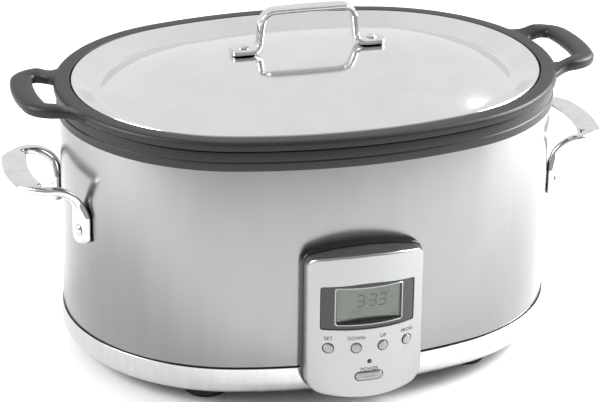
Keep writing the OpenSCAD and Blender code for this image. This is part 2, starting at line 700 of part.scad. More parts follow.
// Upper line of the dome from its middle outwards, g being the depth below the surface
function dome_line(g) = concat([[-end_r, dome_top - g]], [for (i = [0:12])
    let (a = asin(dome_span / dome_r) * i / 12)
    [-end_r + crown + (dome_r - g) * sin(a), dome_top - dome_r + (dome_r - g) * cos(a)]]);
module lid_shell() color("silver") place() difference() {
    union() {
        oval_sweep() polygon(lid_section());
        oval_core(dome_top - lid_t, lid_t);
    }
    for (s = [-1, 1]) translate([s * knob_pitch / 2, 0, dome_top - 5]) cylinder(r = rivet_r + skin, h = 10);
}
// Section of the lid: dome, ring, sloping band and rolled edge, then back underneath
function lid_section() = let (edge = -lid_inset, low = lid_top - 2 * lid_bead_r, drop = lid_t * 1.3,
    under = dome_line(lid_t)) concat(dome_line(0), rounded([
    [ring_in, ring_z, 0], [band_in, ring_z, 0], [edge - 2.4, lid_top, 1.2], [edge, lid_top, 1.8],
    [edge, low, 1.8], [edge - 3.6, low, 1.4], [edge - 4.2, lid_top - 3.4, 0],
    [band_in, ring_z - drop, 0], [ring_in + 0.6, ring_z - drop, 0]], 5),
    [for (i = [len(under) - 1:-1:0]) under[i]]);
// Side view of the lid handle: two feet, legs that lean in, and the grip
module knob_side() {
    foot_out = knob_pitch / 2 + 10;
    bend = knob_pitch / 2 - 13;
    under = knob_h - knob_plate;
    polygon([each rounded([[-foot_out, knob_plate, 1.5], [-foot_out, 0, 0], [-bend + 2, 0, 8],
        [-bend + 6, under, 8], [0, under + 0.6, 60], [bend - 6, under, 8],
        [bend - 2, 0, 8], [foot_out, 0, 0], [foot_out, knob_plate, 1.5], [bend + 3, knob_plate, 6],
        [bend, knob_h, 13], [0, knob_h + 0.4, 100], [-bend, knob_h, 13], [-bend - 3, knob_plate, 6]], 8)]);
}
module lid_handle() color("gainsboro") place() difference() {
    intersection() {
        translate([0, knob_w, dome_top + skin]) rotate([90, 0, 0]) linear_extrude(2 * knob_w) knob_side();
        translate([0, 0, dome_top - 1]) linear_extrude(knob_h + 10) {
            rivet_x = knob_pitch / 2;
            half = [[0, knob_w / 2, 40], [rivet_x - 21, knob_w / 2 - 2.2, 8], [rivet_x - 12, 4.4, 8],
                [rivet_x - 7, 9, 3], [rivet_x + 10, 9, 5]];
            polygon(rounded([each half, each [for (i = [4:-1:0]) [half[i][0], -half[i][1], half[i][2]]],
                each [for (i = [1:4]) [-half[i][0], -half[i][1], half[i][2]]],
                each [for (i = [4:-1:1]) [-half[i][0], half[i][1], half[i][2]]]]));
        }
    }
    for (s = [-1, 1]) translate([s * knob_pitch / 2, 0, dome_top - 5]) cylinder(r = rivet_r + skin, h = 30);
}
module lid_rivets() color("whitesmoke") place() for (s = [-1, 1]) translate([s * knob_pitch / 2, 0, 0]) {
    translate([0, 0, dome_top + skin + knob_plate]) dome_head(rivet_head_r, rivet_head_h);
    translate([0, 0, dome_top - lid_t - 1]) cylinder(r = rivet_r, h = lid_t + 1 + knob_plate + 0.2);
    translate([0, 0, dome_top - lid_t - 1.8]) cylinder(r = rivet_r + 1.6, h = 1.5);
}

housing_shell();
base_skirt();
base_tray();
rim_collar();
heating_well();
heater_band();
heater_clamp();
insulation_wrap();
well_posts();
post_screws();
temperature_sensor();
thermal_fuse();
control_frame();
control_face();
display_surround();
display_lens();
lcd_module();
power_light();
button_switches();
control_board();
board_screws();
panel_screws();
control_ribbon();
power_board();
transformer();
relay();
terminal_block();
power_board_screws();
heater_leads();
cord_gland();
gland_nut();
front_left_foot();
front_right_foot();
rear_left_foot();
rear_right_foot();
foot_screws();
left_side_handle();
right_side_handle();
left_handle_rivets();
right_handle_rivets();
rivet_washers();
insert_pot();
left_pot_grip();
right_pot_grip();
lid_shell();
lid_handle();
lid_rivets();
set_button();
down_button();
up_button();
program_button();
power_button();
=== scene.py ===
from math import acos, asin, atan2, cos, pi, radians, sin, sqrt, tan
import bmesh
import bpy
from mathutils import Matrix, Vector
from mathutils.geometry import tessellate_polygon


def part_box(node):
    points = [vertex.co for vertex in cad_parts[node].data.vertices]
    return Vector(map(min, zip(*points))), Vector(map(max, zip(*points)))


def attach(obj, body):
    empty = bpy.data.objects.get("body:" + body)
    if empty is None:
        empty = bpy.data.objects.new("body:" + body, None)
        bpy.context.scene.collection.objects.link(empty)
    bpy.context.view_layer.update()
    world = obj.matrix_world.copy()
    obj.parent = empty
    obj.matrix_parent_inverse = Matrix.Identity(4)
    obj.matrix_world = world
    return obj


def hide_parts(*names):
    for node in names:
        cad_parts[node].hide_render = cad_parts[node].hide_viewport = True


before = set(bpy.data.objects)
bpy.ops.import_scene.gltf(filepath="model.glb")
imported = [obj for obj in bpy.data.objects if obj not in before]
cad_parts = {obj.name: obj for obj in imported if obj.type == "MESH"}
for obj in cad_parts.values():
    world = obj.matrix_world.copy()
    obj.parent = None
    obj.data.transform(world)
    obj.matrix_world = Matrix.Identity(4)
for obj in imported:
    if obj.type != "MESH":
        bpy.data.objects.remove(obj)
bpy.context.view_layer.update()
mm = 0.001
print("frame loaded:", len(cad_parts), "nodes")

# The plan outline that every ring of the cooker is an offset of: two end arcs and two long side arcs
housingLow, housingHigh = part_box("housing_shell")
middleY = (housingLow.y + housingHigh.y) / 2
outline = {
    "halfLength": (housingHigh.x - housingLow.x) / 2,
    "halfWidth": (housingHigh.y - housingLow.y) / 2,
    "sideBow": 8 * mm,
    "around": 360,
}
endRadius = outline["halfWidth"] - outline["sideBow"]
endCentre = outline["halfLength"] - endRadius
sideRadius = (endCentre ** 2 + outline["halfWidth"] ** 2 - endRadius ** 2) / (2 * outline["sideBow"])
sideCentre = sideRadius - outline["halfWidth"]
meetAngle = atan2(sideCentre, endCentre)


def addNode(tree, kind, settings=None, inputs=None):
    node = tree.nodes.new(kind)
    for name, value in (settings or {}).items():
        setattr(node, name, value)
    for name, value in (inputs or {}).items():
        if isinstance(value, bpy.types.NodeSocket):
            tree.links.new(value, node.inputs[name])
        else:
            node.inputs[name].default_value = value
    return node


def linear(hexColour):  # sRGB hex to the linear values that Blender works in
    parts = [int(hexColour[i:i + 2], 16) / 255 for i in (1, 3, 5)]
    return tuple(c / 12.92 if c <= 0.04045 else ((c + 0.055) / 1.055) ** 2.4 for c in parts) + (1.0,)


# ---- finishes ----

def startFinish(name, colour, metallic, roughness, **sockets):
    mat = bpy.data.materials.new(name)
    mat.use_nodes = True
    tree = mat.node_tree
    shader = tree.nodes["Principled BSDF"]
    shader.inputs["Base Color"].default_value = linear(colour)
    shader.inputs["Metallic"].default_value = metallic
    shader.inputs["Roughness"].default_value = roughness
    for socket, value in sockets.items():
        shader.inputs[socket.replace("_", " ")].default_value = value
    return mat, tree, shader


def addGrain(tree, shader, size, stretch, bump, depth, colours=None, rough=None, detail=3.0):
    # Noise of one real size in metres: raises the surface, and tints or dulls it where asked
    place = addNode(tree, "ShaderNodeTexCoord")
    mapping = addNode(tree, "ShaderNodeMapping", None, {"Vector": place.outputs["Object"], "Scale": stretch})
    noise = addNode(tree, "ShaderNodeTexNoise", None,
                    {"Vector": mapping.outputs["Vector"], "Scale": 1 / size, "Detail": detail})
    if bump:
        last = shader.inputs["Normal"].links
        inputs = {"Height": noise.outputs["Fac"], "Strength": bump, "Distance": depth}
        if last:
            inputs["Normal"] = last[0].from_socket
        lift = addNode(tree, "ShaderNodeBump", None, inputs)
        tree.links.new(lift.outputs["Normal"], shader.inputs["Normal"])
    if colours:
        ramp = addNode(tree, "ShaderNodeValToRGB", None, {"Fac": noise.outputs["Fac"]})
        ramp.color_ramp.elements[0].position = 0.32
        ramp.color_ramp.elements[1].position = 0.68
        ramp.color_ramp.elements[0].color = linear(colours[0])
        ramp.color_ramp.elements[1].color = linear(colours[1])
        tree.links.new(ramp.outputs["Color"], shader.inputs["Base Color"])
    if rough:
        spread = addNode(tree, "ShaderNodeMapRange", None,
                         {"Value": noise.outputs["Fac"], "From Min": 0.3, "From Max": 0.7,
                          "To Min": rough[0], "To Max": rough[1]})
        tree.links.new(spread.outputs["Result"], shader.inputs["Roughness"])
    return noise


def makeFinishes():
    made = {}

    def keep(started, *grain):
        mat, tree, shader = started
        addGrain(tree, shader, *grain)
        made[mat.name] = mat

    # Rolled 18/10 sheet, polished upright: mirror-like close to, soft further off. Its base colour is set far
    # darker than the other steels' as painted shade, standing in for the darker reflection of the upright
    # wall
    keep(startFinish("polishedStainlessWrapPaintedShade", "#989897", 1.0, 0.2),
         14 * mm, (1.0, 1.0, 0.2), 0.02, 0.01 * mm, ("#969695", "#9A9A99"), (0.19, 0.215))
    # Pressed and buffed sheet: sharper than the wrapper, and brighter in colour because the wrapper's colour
    # carries painted shade
    keep(startFinish("buffedStainlessLid", "#DEDEDD", 1.0, 0.1),
         30 * mm, (1.0, 1.0, 1.0), 0.02, 0.01 * mm, ("#DBDBDA", "#E0E0DF"), (0.11, 0.13))
    # Cast and tumbled steel: mirror bright with a faint waviness
    keep(startFinish("castSteelPolished", "#DADADB", 1.0, 0.07),
         7 * mm, (1.0, 1.0, 1.0), 0.1, 0.05 * mm, ("#D4D4D5", "#E0E0E0"), (0.05, 0.1))
    # Rolled sheet with a finer grind than the wrapper's
    keep(startFinish("satinStainlessSkirt", "#D0D1D1", 1.0, 0.22),
         5 * mm, (1.0, 1.0, 0.2), 0.05, 0.02 * mm, ("#CBCCCC", "#D5D6D6"), (0.19, 0.26))
    # Pressed bare sheet inside the cooker
    keep(startFinish("millStainlessWell", "#BDBEBE", 1.0, 0.34),
         4 * mm, (1.0, 1.0, 1.0), 0.05, 0.03 * mm, ("#B4B5B5", "#C4C5C5"), (0.3, 0.4))
    # Zinc-plated screws and clips: slightly blue and cloudy
    keep(startFinish("zincPlatedSteel", "#B9BCC0", 1.0, 0.32),
         1.5 * mm, (1.0, 1.0, 1.0), 0.05, 0.02 * mm, ("#AEB2B8", "#C4C6C8"), (0.26, 0.4))
    # Glass-filled phenolic, compression moulded: dark grey with a low even sheen
    keep(startFinish("mouldedPhenolic", "#181A1C", 0.0, 0.42, IOR=1.5),
         0.9 * mm, (1.0, 1.0, 1.0), 0.12, 0.05 * mm, ("#151719", "#1C1E20"), (0.38, 0.47))
    # Injection-moulded nylon in the base
    keep(startFinish("mouldedNylon", "#232527", 0.0, 0.5, IOR=1.5),
         1.0 * mm, (1.0, 1.0, 1.0), 0.15, 0.05 * mm, ("#1F2123", "#292B2D"), (0.45, 0.56))
    # High-gloss ABS of the panel's frame
    keep(startFinish("glossBlackAbs", "#121315", 0.0, 0.14, IOR=1.53, Coat_Weight=0.4),
         8 * mm, (1.0, 1.0, 1.0), 0.03, 0.02 * mm, ("#101113", "#151618"), (0.11, 0.17))
    # Cast aluminium with a baked non-stick coating: fine speckle under a dull sheen
    keep(startFinish("bakedNonStick", "#1D1F21", 0.0, 0.46, IOR=1.45),
         1.3 * mm, (1.0, 1.0, 1.0), 0.22, 0.08 * mm, ("#191B1D", "#222426"), (0.4, 0.52))
    # ABS with a metallic silver lacquer
    keep(startFinish("silverLacquerFace", "#A8A9AA", 1.0, 0.3, Coat_Weight=0.3,
         Coat_Roughness=0.1),
         0.6 * mm, (1.0, 1.0, 1.0), 0.05, 0.02 * mm, ("#A5A6A7", "#ACADAE"), (0.27, 0.34))
    # Fine-textured polycarbonate around the display
    keep(startFinish("satinPolycarbonate", "#303234", 0.0, 0.4, IOR=1.58),
         0.5 * mm, (1.0, 1.0, 1.0), 0.1, 0.03 * mm, ("#2D2F31", "#343638"), (0.36, 0.45))
    # Display glass over its grey-green polariser
    keep(startFinish("lcdPolariser", "#7A8279", 0.0, 0.3, IOR=1.5, Coat_Weight=0.3),
         14 * mm, (1.0, 1.0, 1.0), 0.0, 0.0, ("#767E75", "#7E867D"), (0.26, 0.34))
    # Segments as the display draws them, and dark printing
    keep(startFinish("lcdSegment", "#23282A", 0.0, 0.5, IOR=1.5),
         0.4 * mm, (1.0, 1.0, 1.0), 0.0, 0.0, ("#202527", "#272C2E"), None)
    # Pad-printed ink on the face, dark and light
    keep(startFinish("darkPrintInk", "#2D2F31", 0.0, 0.55, IOR=1.5),
         0.4 * mm, (1.0, 1.0, 1.0), 0.0, 0.0, ("#292B2D", "#323436"), None)
    # Clear acrylic window, polished
    keep(startFinish("clearAcrylic", "#F4F8F4", 0.0, 0.03, IOR=1.49, Transmission_Weight=1.0),
         12 * mm, (1.0, 1.0, 1.0), 0.01, 0.01 * mm, None, (0.02, 0.045))
    # Light-grey ABS key caps, moulded with a soft texture
    keep(startFinish("greyAbsKey", "#9A9C9E", 0.35, 0.3, IOR=1.53, Coat_Weight=0.2),
         0.5 * mm, (1.0, 1.0, 1.0), 0.06, 0.02 * mm, ("#939597", "#A2A4A6"), (0.26, 0.35))
    # Tinted lens of the power light, unlit
    keep(startFinish("tintedLightLens", "#2A1415", 0.0, 0.12, IOR=1.5, Coat_Weight=0.5),
         2 * mm, (1.0, 1.0, 1.0), 0.02, 0.01 * mm, ("#251112", "#301718"), (0.09, 0.16))
    # Natural rubber feet: dull and slightly dusty
    keep(startFinish("mouldedRubber", "#1B1C1C", 0.0, 0.72, IOR=1.52),
         1.2 * mm, (1.0, 1.0, 1.0), 0.2, 0.06 * mm, ("#171818", "#222323"), (0.65, 0.8))
    # Glass-epoxy board under green solder mask
    keep(startFinish("solderMaskGreen", "#1E5A34", 0.0, 0.35, IOR=1.55, Coat_Weight=0.3),
         2.5 * mm, (1.0, 4.0, 1.0), 0.1, 0.03 * mm, ("#184C2B", "#27683F"), (0.3, 0.42))
    # Enamelled copper winding
    keep(startFinish("enamelledCopper", "#B5683A", 1.0, 0.3),
         1.0 * mm, (0.2, 0.2, 4.0), 0.3, 0.1 * mm, ("#9E5630", "#C87A48"), (0.25, 0.38))
    # Moulded relay case
    keep(startFinish("blueRelayCase", "#2C5FA8", 0.0, 0.38, IOR=1.52),
         1.0 * mm, (1.0, 1.0, 1.0), 0.08, 0.03 * mm, ("#28579B", "#3067B4"), (0.34, 0.43))
    # Glass-braided lead
    keep(startFinish("braidedGlassLead", "#E4E1D8", 0.0, 0.7, IOR=1.5),
         0.8 * mm, (1.0, 1.0, 3.0), 0.3, 0.1 * mm, ("#D8D4C8", "#EEECE6"), (0.6, 0.8))
    # Flat grey ribbon: extruded PVC over parallel conductors
    keep(startFinish("greyPvcRibbon", "#A9ACB0", 0.0, 0.45, IOR=1.5),
         1.3 * mm, (6.0, 0.1, 0.1), 0.4, 0.15 * mm, ("#9EA1A5", "#B5B8BC"), (0.4, 0.5))
    # Mica sheet around the heating wire
    keep(startFinish("pressedMica", "#B49A72", 0.0, 0.4, IOR=1.56),
         3.5 * mm, (1.0, 1.0, 1.0), 0.2, 0.08 * mm, ("#9C8460", "#C9B088"), (0.3, 0.5))
    # Needled glass wool
    keep(startFinish("needledGlassWool", "#D8CFA6", 0.0, 0.92, IOR=1.5),
         2.2 * mm, (1.0, 1.0, 1.0), 0.8, 0.6 * mm, ("#C9BF94", "#E6DEBA"), (0.85, 0.97))
    return made


finish = makeFinishes()
print("finishes made:", len(finish))


# ---- mesh helpers ----

def roundedLine(corners, steps=6):  # closed outline of [x, y, radius] corners
    line = []
    count = len(corners)
    for i, (x, y, radius) in enumerate(corners):
        here = Vector((x, y))
        if radius == 0:
            line.append(here)
            continue
        toLast = (Vector(corners[i - 1][:2]) - here).normalized()
        toNext = (Vector(corners[(i + 1) % count][:2]) - here).normalized()
        half = acos(max(-1, min(1, toLast.dot(toNext)))) / 2
        centre = here + (toLast + toNext).normalized() * radius / sin(half)
        first = here + toLast * radius / tan(half) - centre
        last = here + toNext * radius / tan(half) - centre
        a0 = atan2(first.y, first.x)
        turn = (atan2(last.y, last.x) - a0 + pi) % (2 * pi) - pi
        for k in range(steps + 1):
            a = a0 + turn * k / steps
            line.append(centre + radius * Vector((cos(a), sin(a))))
    return line


def smooth(low, high, x):
    t = max(0.0, min(1.0, (x - low) / (high - low)))
    return t * t * (3 - 2 * t)


def along(table, x):  # straight interpolation in a short table of (x, value)
    for (x0, y0), (x1, y1) in zip(table, table[1:]):
        if x <= x1:
            return y0 + (y1 - y0) * max(0.0, (x - x0)) / (x1 - x0)
    return table[-1][1]


def cleanMesh(mesh, sharpAngle, turnOut=True, join=0.00001):
    work = bmesh.new()
    work.from_mesh(mesh)
    bmesh.ops.remove_doubles(work, verts=work.verts, dist=join)
    if turnOut:
        bmesh.ops.recalc_face_normals(work, faces=work.faces)
    work.to_mesh(mesh)
    work.free()
    mesh.polygons.foreach_set("use_smooth", [True] * len(mesh.polygons))
    mesh.set_sharp_from_angle(angle=radians(sharpAngle))
    mesh.update()


def makePiece(name, verts, faces, mat, sharpAngle=32, turnOut=True):
    mesh = bpy.data.meshes.new(name)
    mesh.from_pydata([tuple(v) for v in verts], [], faces)
    mesh.materials.append(mat)
    cleanMesh(mesh, sharpAngle, turnOut)
    piece = bpy.data.objects.new(name, mesh)
    bpy.context.scene.collection.objects.link(piece)
    return piece


def applied(piece):  # swaps a piece's live modifiers for the mesh they give
    bpy.context.view_layer.update()
    result = bpy.data.meshes.new_from_object(piece.evaluated_get(bpy.context.evaluated_depsgraph_get()))
    piece.modifiers.clear()
    piece.data = result
    return piece


def finishPiece(piece, body, slotName, *nodes):
    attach(piece, body)
    if nodes:
        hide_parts(*nodes)
    return piece


def startTree(name, sizes):
    tree = bpy.data.node_groups.new(name, "GeometryNodeTree")
    tree.interface.new_socket(name="Geometry", in_out="INPUT", socket_type="NodeSocketGeometry")
    for size in sizes:
        tree.interface.new_socket(name=size, in_out="INPUT", socket_type="NodeSocketFloat")
    tree.interface.new_socket(name="Around", in_out="INPUT", socket_type="NodeSocketInt")
    tree.interface.new_socket(name="Finish", in_out="INPUT", socket_type="NodeSocketMaterial")
    tree.interface.new_socket(name="Geometry", in_out="OUTPUT", socket_type="NodeSocketGeometry")
    return tree, addNode(tree, "NodeGroupInput"), addNode(tree, "NodeGroupOutput")


def runTree(piece, tree, values):
    modifier = piece.modifiers.new(tree.name, "NODES")
    modifier.node_group = tree
    for item in tree.interface.items_tree:
        if item.in_out == "INPUT" and item.name in values:
            modifier[item.identifier] = values[item.name]
    return applied(piece)


# ---- rings swept around the oval ----

def ovalTree():
    # A section, x its offset from the outline and y its height, goes once around the oval
    tree, given, result = startTree("ovalSweep", ["End radius", "End centre", "Side radius", "Side centre",
                                                  "Meeting cosine", "Middle"])

    def maths(operation, *values):
        return addNode(tree, "ShaderNodeMath", {"operation": operation},
                       dict(enumerate(values))).outputs[0]

    def choose(switch, no, yes):
        return addNode(tree, "GeometryNodeSwitch", {"input_type": "FLOAT"},
                       {"Switch": switch, "False": no, "True": yes}).outputs[0]

    line = addNode(tree, "GeometryNodeMeshToCurve", None, {"Mesh": given.outputs["Geometry"]})
    spot = addNode(tree, "ShaderNodeSeparateXYZ", None,
                   {0: addNode(tree, "GeometryNodeInputPosition").outputs[0]})
    offset = addNode(tree, "GeometryNodeStoreNamedAttribute", {"data_type": "FLOAT", "domain": "POINT"},
                     {"Geometry": line.outputs[0], "Name": "offset", "Value": spot.outputs["X"]})
    height = addNode(tree, "GeometryNodeStoreNamedAttribute", {"data_type": "FLOAT", "domain": "POINT"},
                     {"Geometry": offset.outputs[0], "Name": "height", "Value": spot.outputs["Y"]})
    circle = addNode(tree, "GeometryNodeCurvePrimitiveCircle", None,
                     {"Resolution": given.outputs["Around"], "Radius": 1.0})
    swept = addNode(tree, "GeometryNodeCurveToMesh", None,
                    {"Curve": circle.outputs[0], "Profile Curve": height.outputs[0]})
    named = [addNode(tree, "GeometryNodeInputNamedAttribute", {"data_type": "FLOAT"},
                     {"Name": name}).outputs[0]
             for name in ("offset", "height")]
    where = addNode(tree, "ShaderNodeSeparateXYZ", None,
                    {0: addNode(tree, "GeometryNodeInputPosition").outputs[0]})
    turn = maths("ARCTAN2", where.outputs["Y"], where.outputs["X"])
    across, away = maths("COSINE", turn), maths("SINE", turn)
    atEnd = maths("GREATER_THAN", maths("ABSOLUTE", across), given.outputs["Meeting cosine"])
    reach = maths("ADD", choose(atEnd, given.outputs["Side radius"], given.outputs["End radius"]), named[0])
    centreX = choose(atEnd, 0.0, maths("MULTIPLY", maths("SIGN", across), given.outputs["End centre"]))
    centreY = choose(atEnd, maths("MULTIPLY", maths("SIGN", away),
                                  maths("MULTIPLY", given.outputs["Side centre"], -1.0)), 0.0)
    placeX = maths("ADD", centreX, maths("MULTIPLY", reach, across))
    placeY = maths("ADD", maths("ADD", centreY, maths("MULTIPLY", reach, away)), given.outputs["Middle"])
    place = addNode(tree, "ShaderNodeCombineXYZ", None, {"X": placeX, "Y": placeY, "Z": named[1]})
    moved = addNode(tree, "GeometryNodeSetPosition", None,
                    {"Geometry": swept.outputs[0], "Position": place.outputs[0]})
    real = addNode(tree, "GeometryNodeRealizeInstances", None, {"Geometry": moved.outputs[0]})
    done = addNode(tree, "GeometryNodeSetMaterial", None,
                   {"Geometry": real.outputs[0], "Material": given.outputs["Finish"]})
    tree.links.new(done.outputs[0], result.inputs["Geometry"])
    return tree


sweepTree = ovalTree()


def sweptRing(name, section, mat, closed=True, sharpAngle=32, capped=False):
    # section: (offset, height) in millimetres
    mesh = bpy.data.meshes.new(name)
    points = [(x * mm, y * mm, 0) for x, y in section]
    edges = [(i, i + 1) for i in range(len(points) - 1)] + ([(len(points) - 1, 0)] if closed else [])
    mesh.from_pydata(points, edges, [])
    piece = bpy.data.objects.new(name, mesh)
    bpy.context.scene.collection.objects.link(piece)
    runTree(piece, sweepTree, {"End radius": endRadius, "End centre": endCentre, "Side radius": sideRadius,
                               "Side centre": sideCentre, "Meeting cosine": cos(meetAngle), "Middle": middleY,
                               "Around": outline["around"], "Finish": mat})
    for attribute in ("offset", "height"):
        piece.data.attributes.remove(piece.data.attributes[attribute])
    if capped:  # the flat middle of a floor or dome
        work = bmesh.new()
        work.from_mesh(piece.data)
        bmesh.ops.remove_doubles(work, verts=work.verts, dist=0.00001)
        rims = bmesh.ops.holes_fill(work, edges=[e for e in work.edges if e.is_boundary])["faces"]
        bmesh.ops.triangulate(work, faces=rims)
        work.to_mesh(piece.data)
        work.free()
    cleanMesh(piece.data, sharpAngle)
    return piece


def ovalSpot(offset, y, end=1):  # point at an offset outside an end arc, y being its sideways place
    x = endCentre + sqrt((endRadius + offset) ** 2 - y ** 2)
    return end * x, middleY + y


wrapSizes = {"sheet": 1.0, "top": housingHigh.z / mm, "seam": housingLow.z / mm, "edge": 0.3}


def makeWrapper():
    w = wrapSizes
    section = roundedLine([(0, w["seam"], w["edge"]), (0, w["top"], w["edge"]),
                           (-w["sheet"], w["top"], w["edge"]),
                           (-w["sheet"], w["seam"], w["edge"])], 3)
    # the wrapper's finish is darkened steel: painted shade for the upright wall's darker reflection
    piece = sweptRing("stainlessWrapper", section, finish["polishedStainlessWrapPaintedShade"])
    finishPiece(piece, "base", "polished_steel", "housing_shell")


skirtSizes = {"reach": 1.2, "round": 12, "sheet": 1.0, "under": -15, "edge": 0.35}


def makeSkirt():
    s = skirtSizes
    low, high = (corner.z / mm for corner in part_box("base_skirt"))
    t = s["sheet"]
    section = roundedLine([(s["reach"], high, s["edge"]), (s["reach"], low, s["round"]),
                           (s["under"], low, s["edge"]),
                           (s["under"], low + t, s["edge"]), (s["reach"] - t, low + t, s["round"] - t),
                           (s["reach"] - t, high, s["edge"])], 10)
    piece = sweptRing("baseSkirt", section, finish["satinStainlessSkirt"])
    finishPiece(piece, "base", "satin_steel", "base_skirt")


collarSizes = {"reach": 2.0, "step": 1.2, "groove": 0.9, "width": 18, "lap": 5}


def makeCollar():
    c = collarSizes
    base = wrapSizes["top"]
    top = base + 15.3
    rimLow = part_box("rim_collar")[1].z / mm
    out = c["reach"]
    section = roundedLine([
        (out, base + 0.1, 0.4), (out, base + 6.5, 0.5), (out - c["groove"], base + 7.2, 0),
        (out - c["groove"], base + 9.4, 0),
        (out - 0.5, base + 9.9, 0.4), (out - c["step"], top, 1.0), (-4, top, 0.4), (-4, rimLow, 0.3),
        (-8, rimLow, 0.3),
        (-8, top, 0.4), (-c["width"] + 5.5, top, 1.5), (-c["width"], top - 8.8, 1.0),
        (-c["width"], base - 2, 0),
        (-c["width"] + 2.4, base - 2, 0), (-c["width"] + 2.4, top - 8.8, 0), (-c["width"] + 6, top - 3, 0),
        (-c["lap"], top - 3, 0), (-c["lap"], base - 7, 0), (-1.3, base - 7, 0), (-1.3, base + 0.1, 0)], 4)
    piece = sweptRing("rimCollar", section, finish["mouldedPhenolic"])
    finishPiece(piece, "base", "charcoal_plastic", "rim_collar")


makeWrapper()
makeSkirt()
makeCollar()
print("housing rings made")


# ---- pot ----

potLow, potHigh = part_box("insert_pot")
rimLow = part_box("rim_collar")[1].z / mm
potSizes = {"rimHeight": 7.5, "rimReach": 4, "inset": 21.5, "draft": 3, "wall": 3.5, "seatDrop": 3.5,
            "lidInset": 9.7, "depth": 117, "middle": -139.4}


def makePot():
    p = potSizes
    top = rimLow + p["rimHeight"]
    seat = top - p["seatDrop"]
    shoulder = rimLow - 3.5
    floorZ = shoulder - p["depth"]
    base = floorZ - p["wall"] - 1
    bottom, wall = -p["inset"] - p["draft"], -p["inset"]
    line = roundedLine([
        (p["middle"], base, 0), (bottom, base, 20), (wall, shoulder - 8, 6), (wall + 6, rimLow - 2.5, 0),
        (wall + 6, rimLow, 0.4), (p["rimReach"], rimLow, 1.6), (p["rimReach"], top, 3.2),
        (-p["lidInset"] + 1, top, 0.9), (-p["lidInset"] + 1, seat, 0.4), (-p["lidInset"] - 2.5, seat, 0.6),
        (wall - p["wall"], shoulder, 1.0), (bottom - p["wall"], floorZ, 17), (p["middle"], floorZ, 0)], 8)
    piece = sweptRing("castPot", line, finish["bakedNonStick"], closed=False, capped=True)
    finishPiece(piece, "pot", "pot_coating", "insert_pot")


def superSection(count, power):  # unit rounded-rectangle section, as (across, through) pairs
    ring = []
    for k in range(count):
        a = 2 * pi * (k + 0.5) / count
        c, s = cos(a), sin(a)
        ring.append(((abs(c) ** (2 / power)) * (1 if c > 0 else -1),
                     (abs(s) ** (2 / power)) * (1 if s > 0 else -1)))
    return ring


def evenPath(corners, step):  # open path through [x, y, radius] corners, in points a step apart
    inner = [(c[0], c[1], c[2]) for c in corners]
    line = roundedLine(inner, 12)
    gaps = [(b - a).length for a, b in zip(line, line[1:])]
    total = sum(gaps)
    count = int(total / step) + 1
    points, i, gone = [], 0, 0.0
    for k in range(count + 1):
        want = total * k / count
        while i < len(gaps) - 1 and gone + gaps[i] < want:
            gone += gaps[i]
            i += 1
        share = (want - gone) / gaps[i] if gaps[i] else 0
        points.append(line[i].lerp(line[i + 1], min(1, share)))
    return points, total


def strapMesh(path, widthAt, place, power=3.0, sides=32, swell=None):
    # A bar along a flat path: place turns (across, up the pattern, through 0..1) into a point
    verts, faces = [], []
    ring = superSection(sides, power)
    for k, point in enumerate(path):
        before, after = path[max(0, k - 1)], path[min(len(path) - 1, k + 1)]
        tangent = (after - before).normalized()
        side = Vector((tangent.y, -tangent.x))
        half = widthAt(k / (len(path) - 1), point)
        if isinstance(half, tuple):
            left, right = half
        else:
            left = right = half
        for across, through in ring:
            spot = point + side * across * (right if across > 0 else left)
            verts.append(place(spot.x, spot.y, (through + 1) / 2))
    for k in range(len(path) - 1):
        for j in range(sides):
            a, b = k * sides + j, k * sides + (j + 1) % sides
            faces.append((a, b, b + sides, a + sides))
    last = (len(path) - 1) * sides
    faces.append(tuple(range(sides)))
    faces.append(tuple(last + j for j in reversed(range(sides))))
    return verts, faces


potGrip = {"reach": 37, "slotOut": 20.5, "slotHalf": 32, "legHalf": 48.5, "rise": 5.0, "low": 2.5,
           "flare": 14}


def makePotGrips():
    g = potGrip
    top = rimLow + potSizes["rimHeight"]
    barHalf = (g["reach"] - g["slotOut"]) / 2
    legHalf = (g["legHalf"] - g["slotHalf"]) / 2
    barPlace = g["slotOut"] + barHalf
    legPlace = g["slotHalf"] + legHalf
    path, _ = evenPath([(-7, -legPlace, 0), (barPlace, -legPlace, 11.5), (barPlace, legPlace, 11.5),
                            (-7, legPlace, 0)], 1.4)
    path = path[:-1] if (path[-1] - path[0]).length < 1 else path

    def widthAt(share, point):
        bar = smooth(34, 26, abs(point.y))
        width = legHalf + (barHalf - legHalf) * bar
        flare = g["flare"] * (1 - smooth(-2, 15, point.x)) ** 1.5
        inner = 3.0 * (1 - smooth(3.5, 10, point.x)) ** 2
        return (width + inner, width + flare)

    for end, label in ((-1, "left"), (1, "right")):
        def place(d, y, through):
            lift = smooth(3, 19, d)
            low = rimLow + 0.1 + (g["low"] - 0.1) * lift
            high = top - 0.15 + (g["rise"] + 0.15) * lift
            bow = 1.5 * (1 - (y / 50) ** 2) * smooth(18, 34, d)
            x, yy = ovalSpot((d + bow) * mm, y * mm, end)
            return (x, yy, (low + (high - low) * through) * mm)
        verts, faces = strapMesh(path, widthAt, place, power=2.9, sides=36)
        piece = makePiece(label + "PotGrip", verts, faces, finish["bakedNonStick"], 50)
        finishPiece(piece, "pot", "pot_coating", label + "_pot_grip")


makePot()
makePotGrips()
print("pot made")


# ---- lid ----

lidSizes = {"edge": -9.7, "top": rimLow + 7.9, "bandIn": -27.0, "ringIn": -33.0, "drop": 9.9, "rise": 27.5,
            "sheet": 1.2, "bead": 1.95, "middle": -139.6, "flatness": 2.15}


def domeHeight(offset):
    s = lidSizes
    share = (offset - s["middle"]) / (s["ringIn"] - s["middle"])
    return s["top"] - s["drop"] + s["rise"] * (1 - max(0, share) ** s["flatness"])


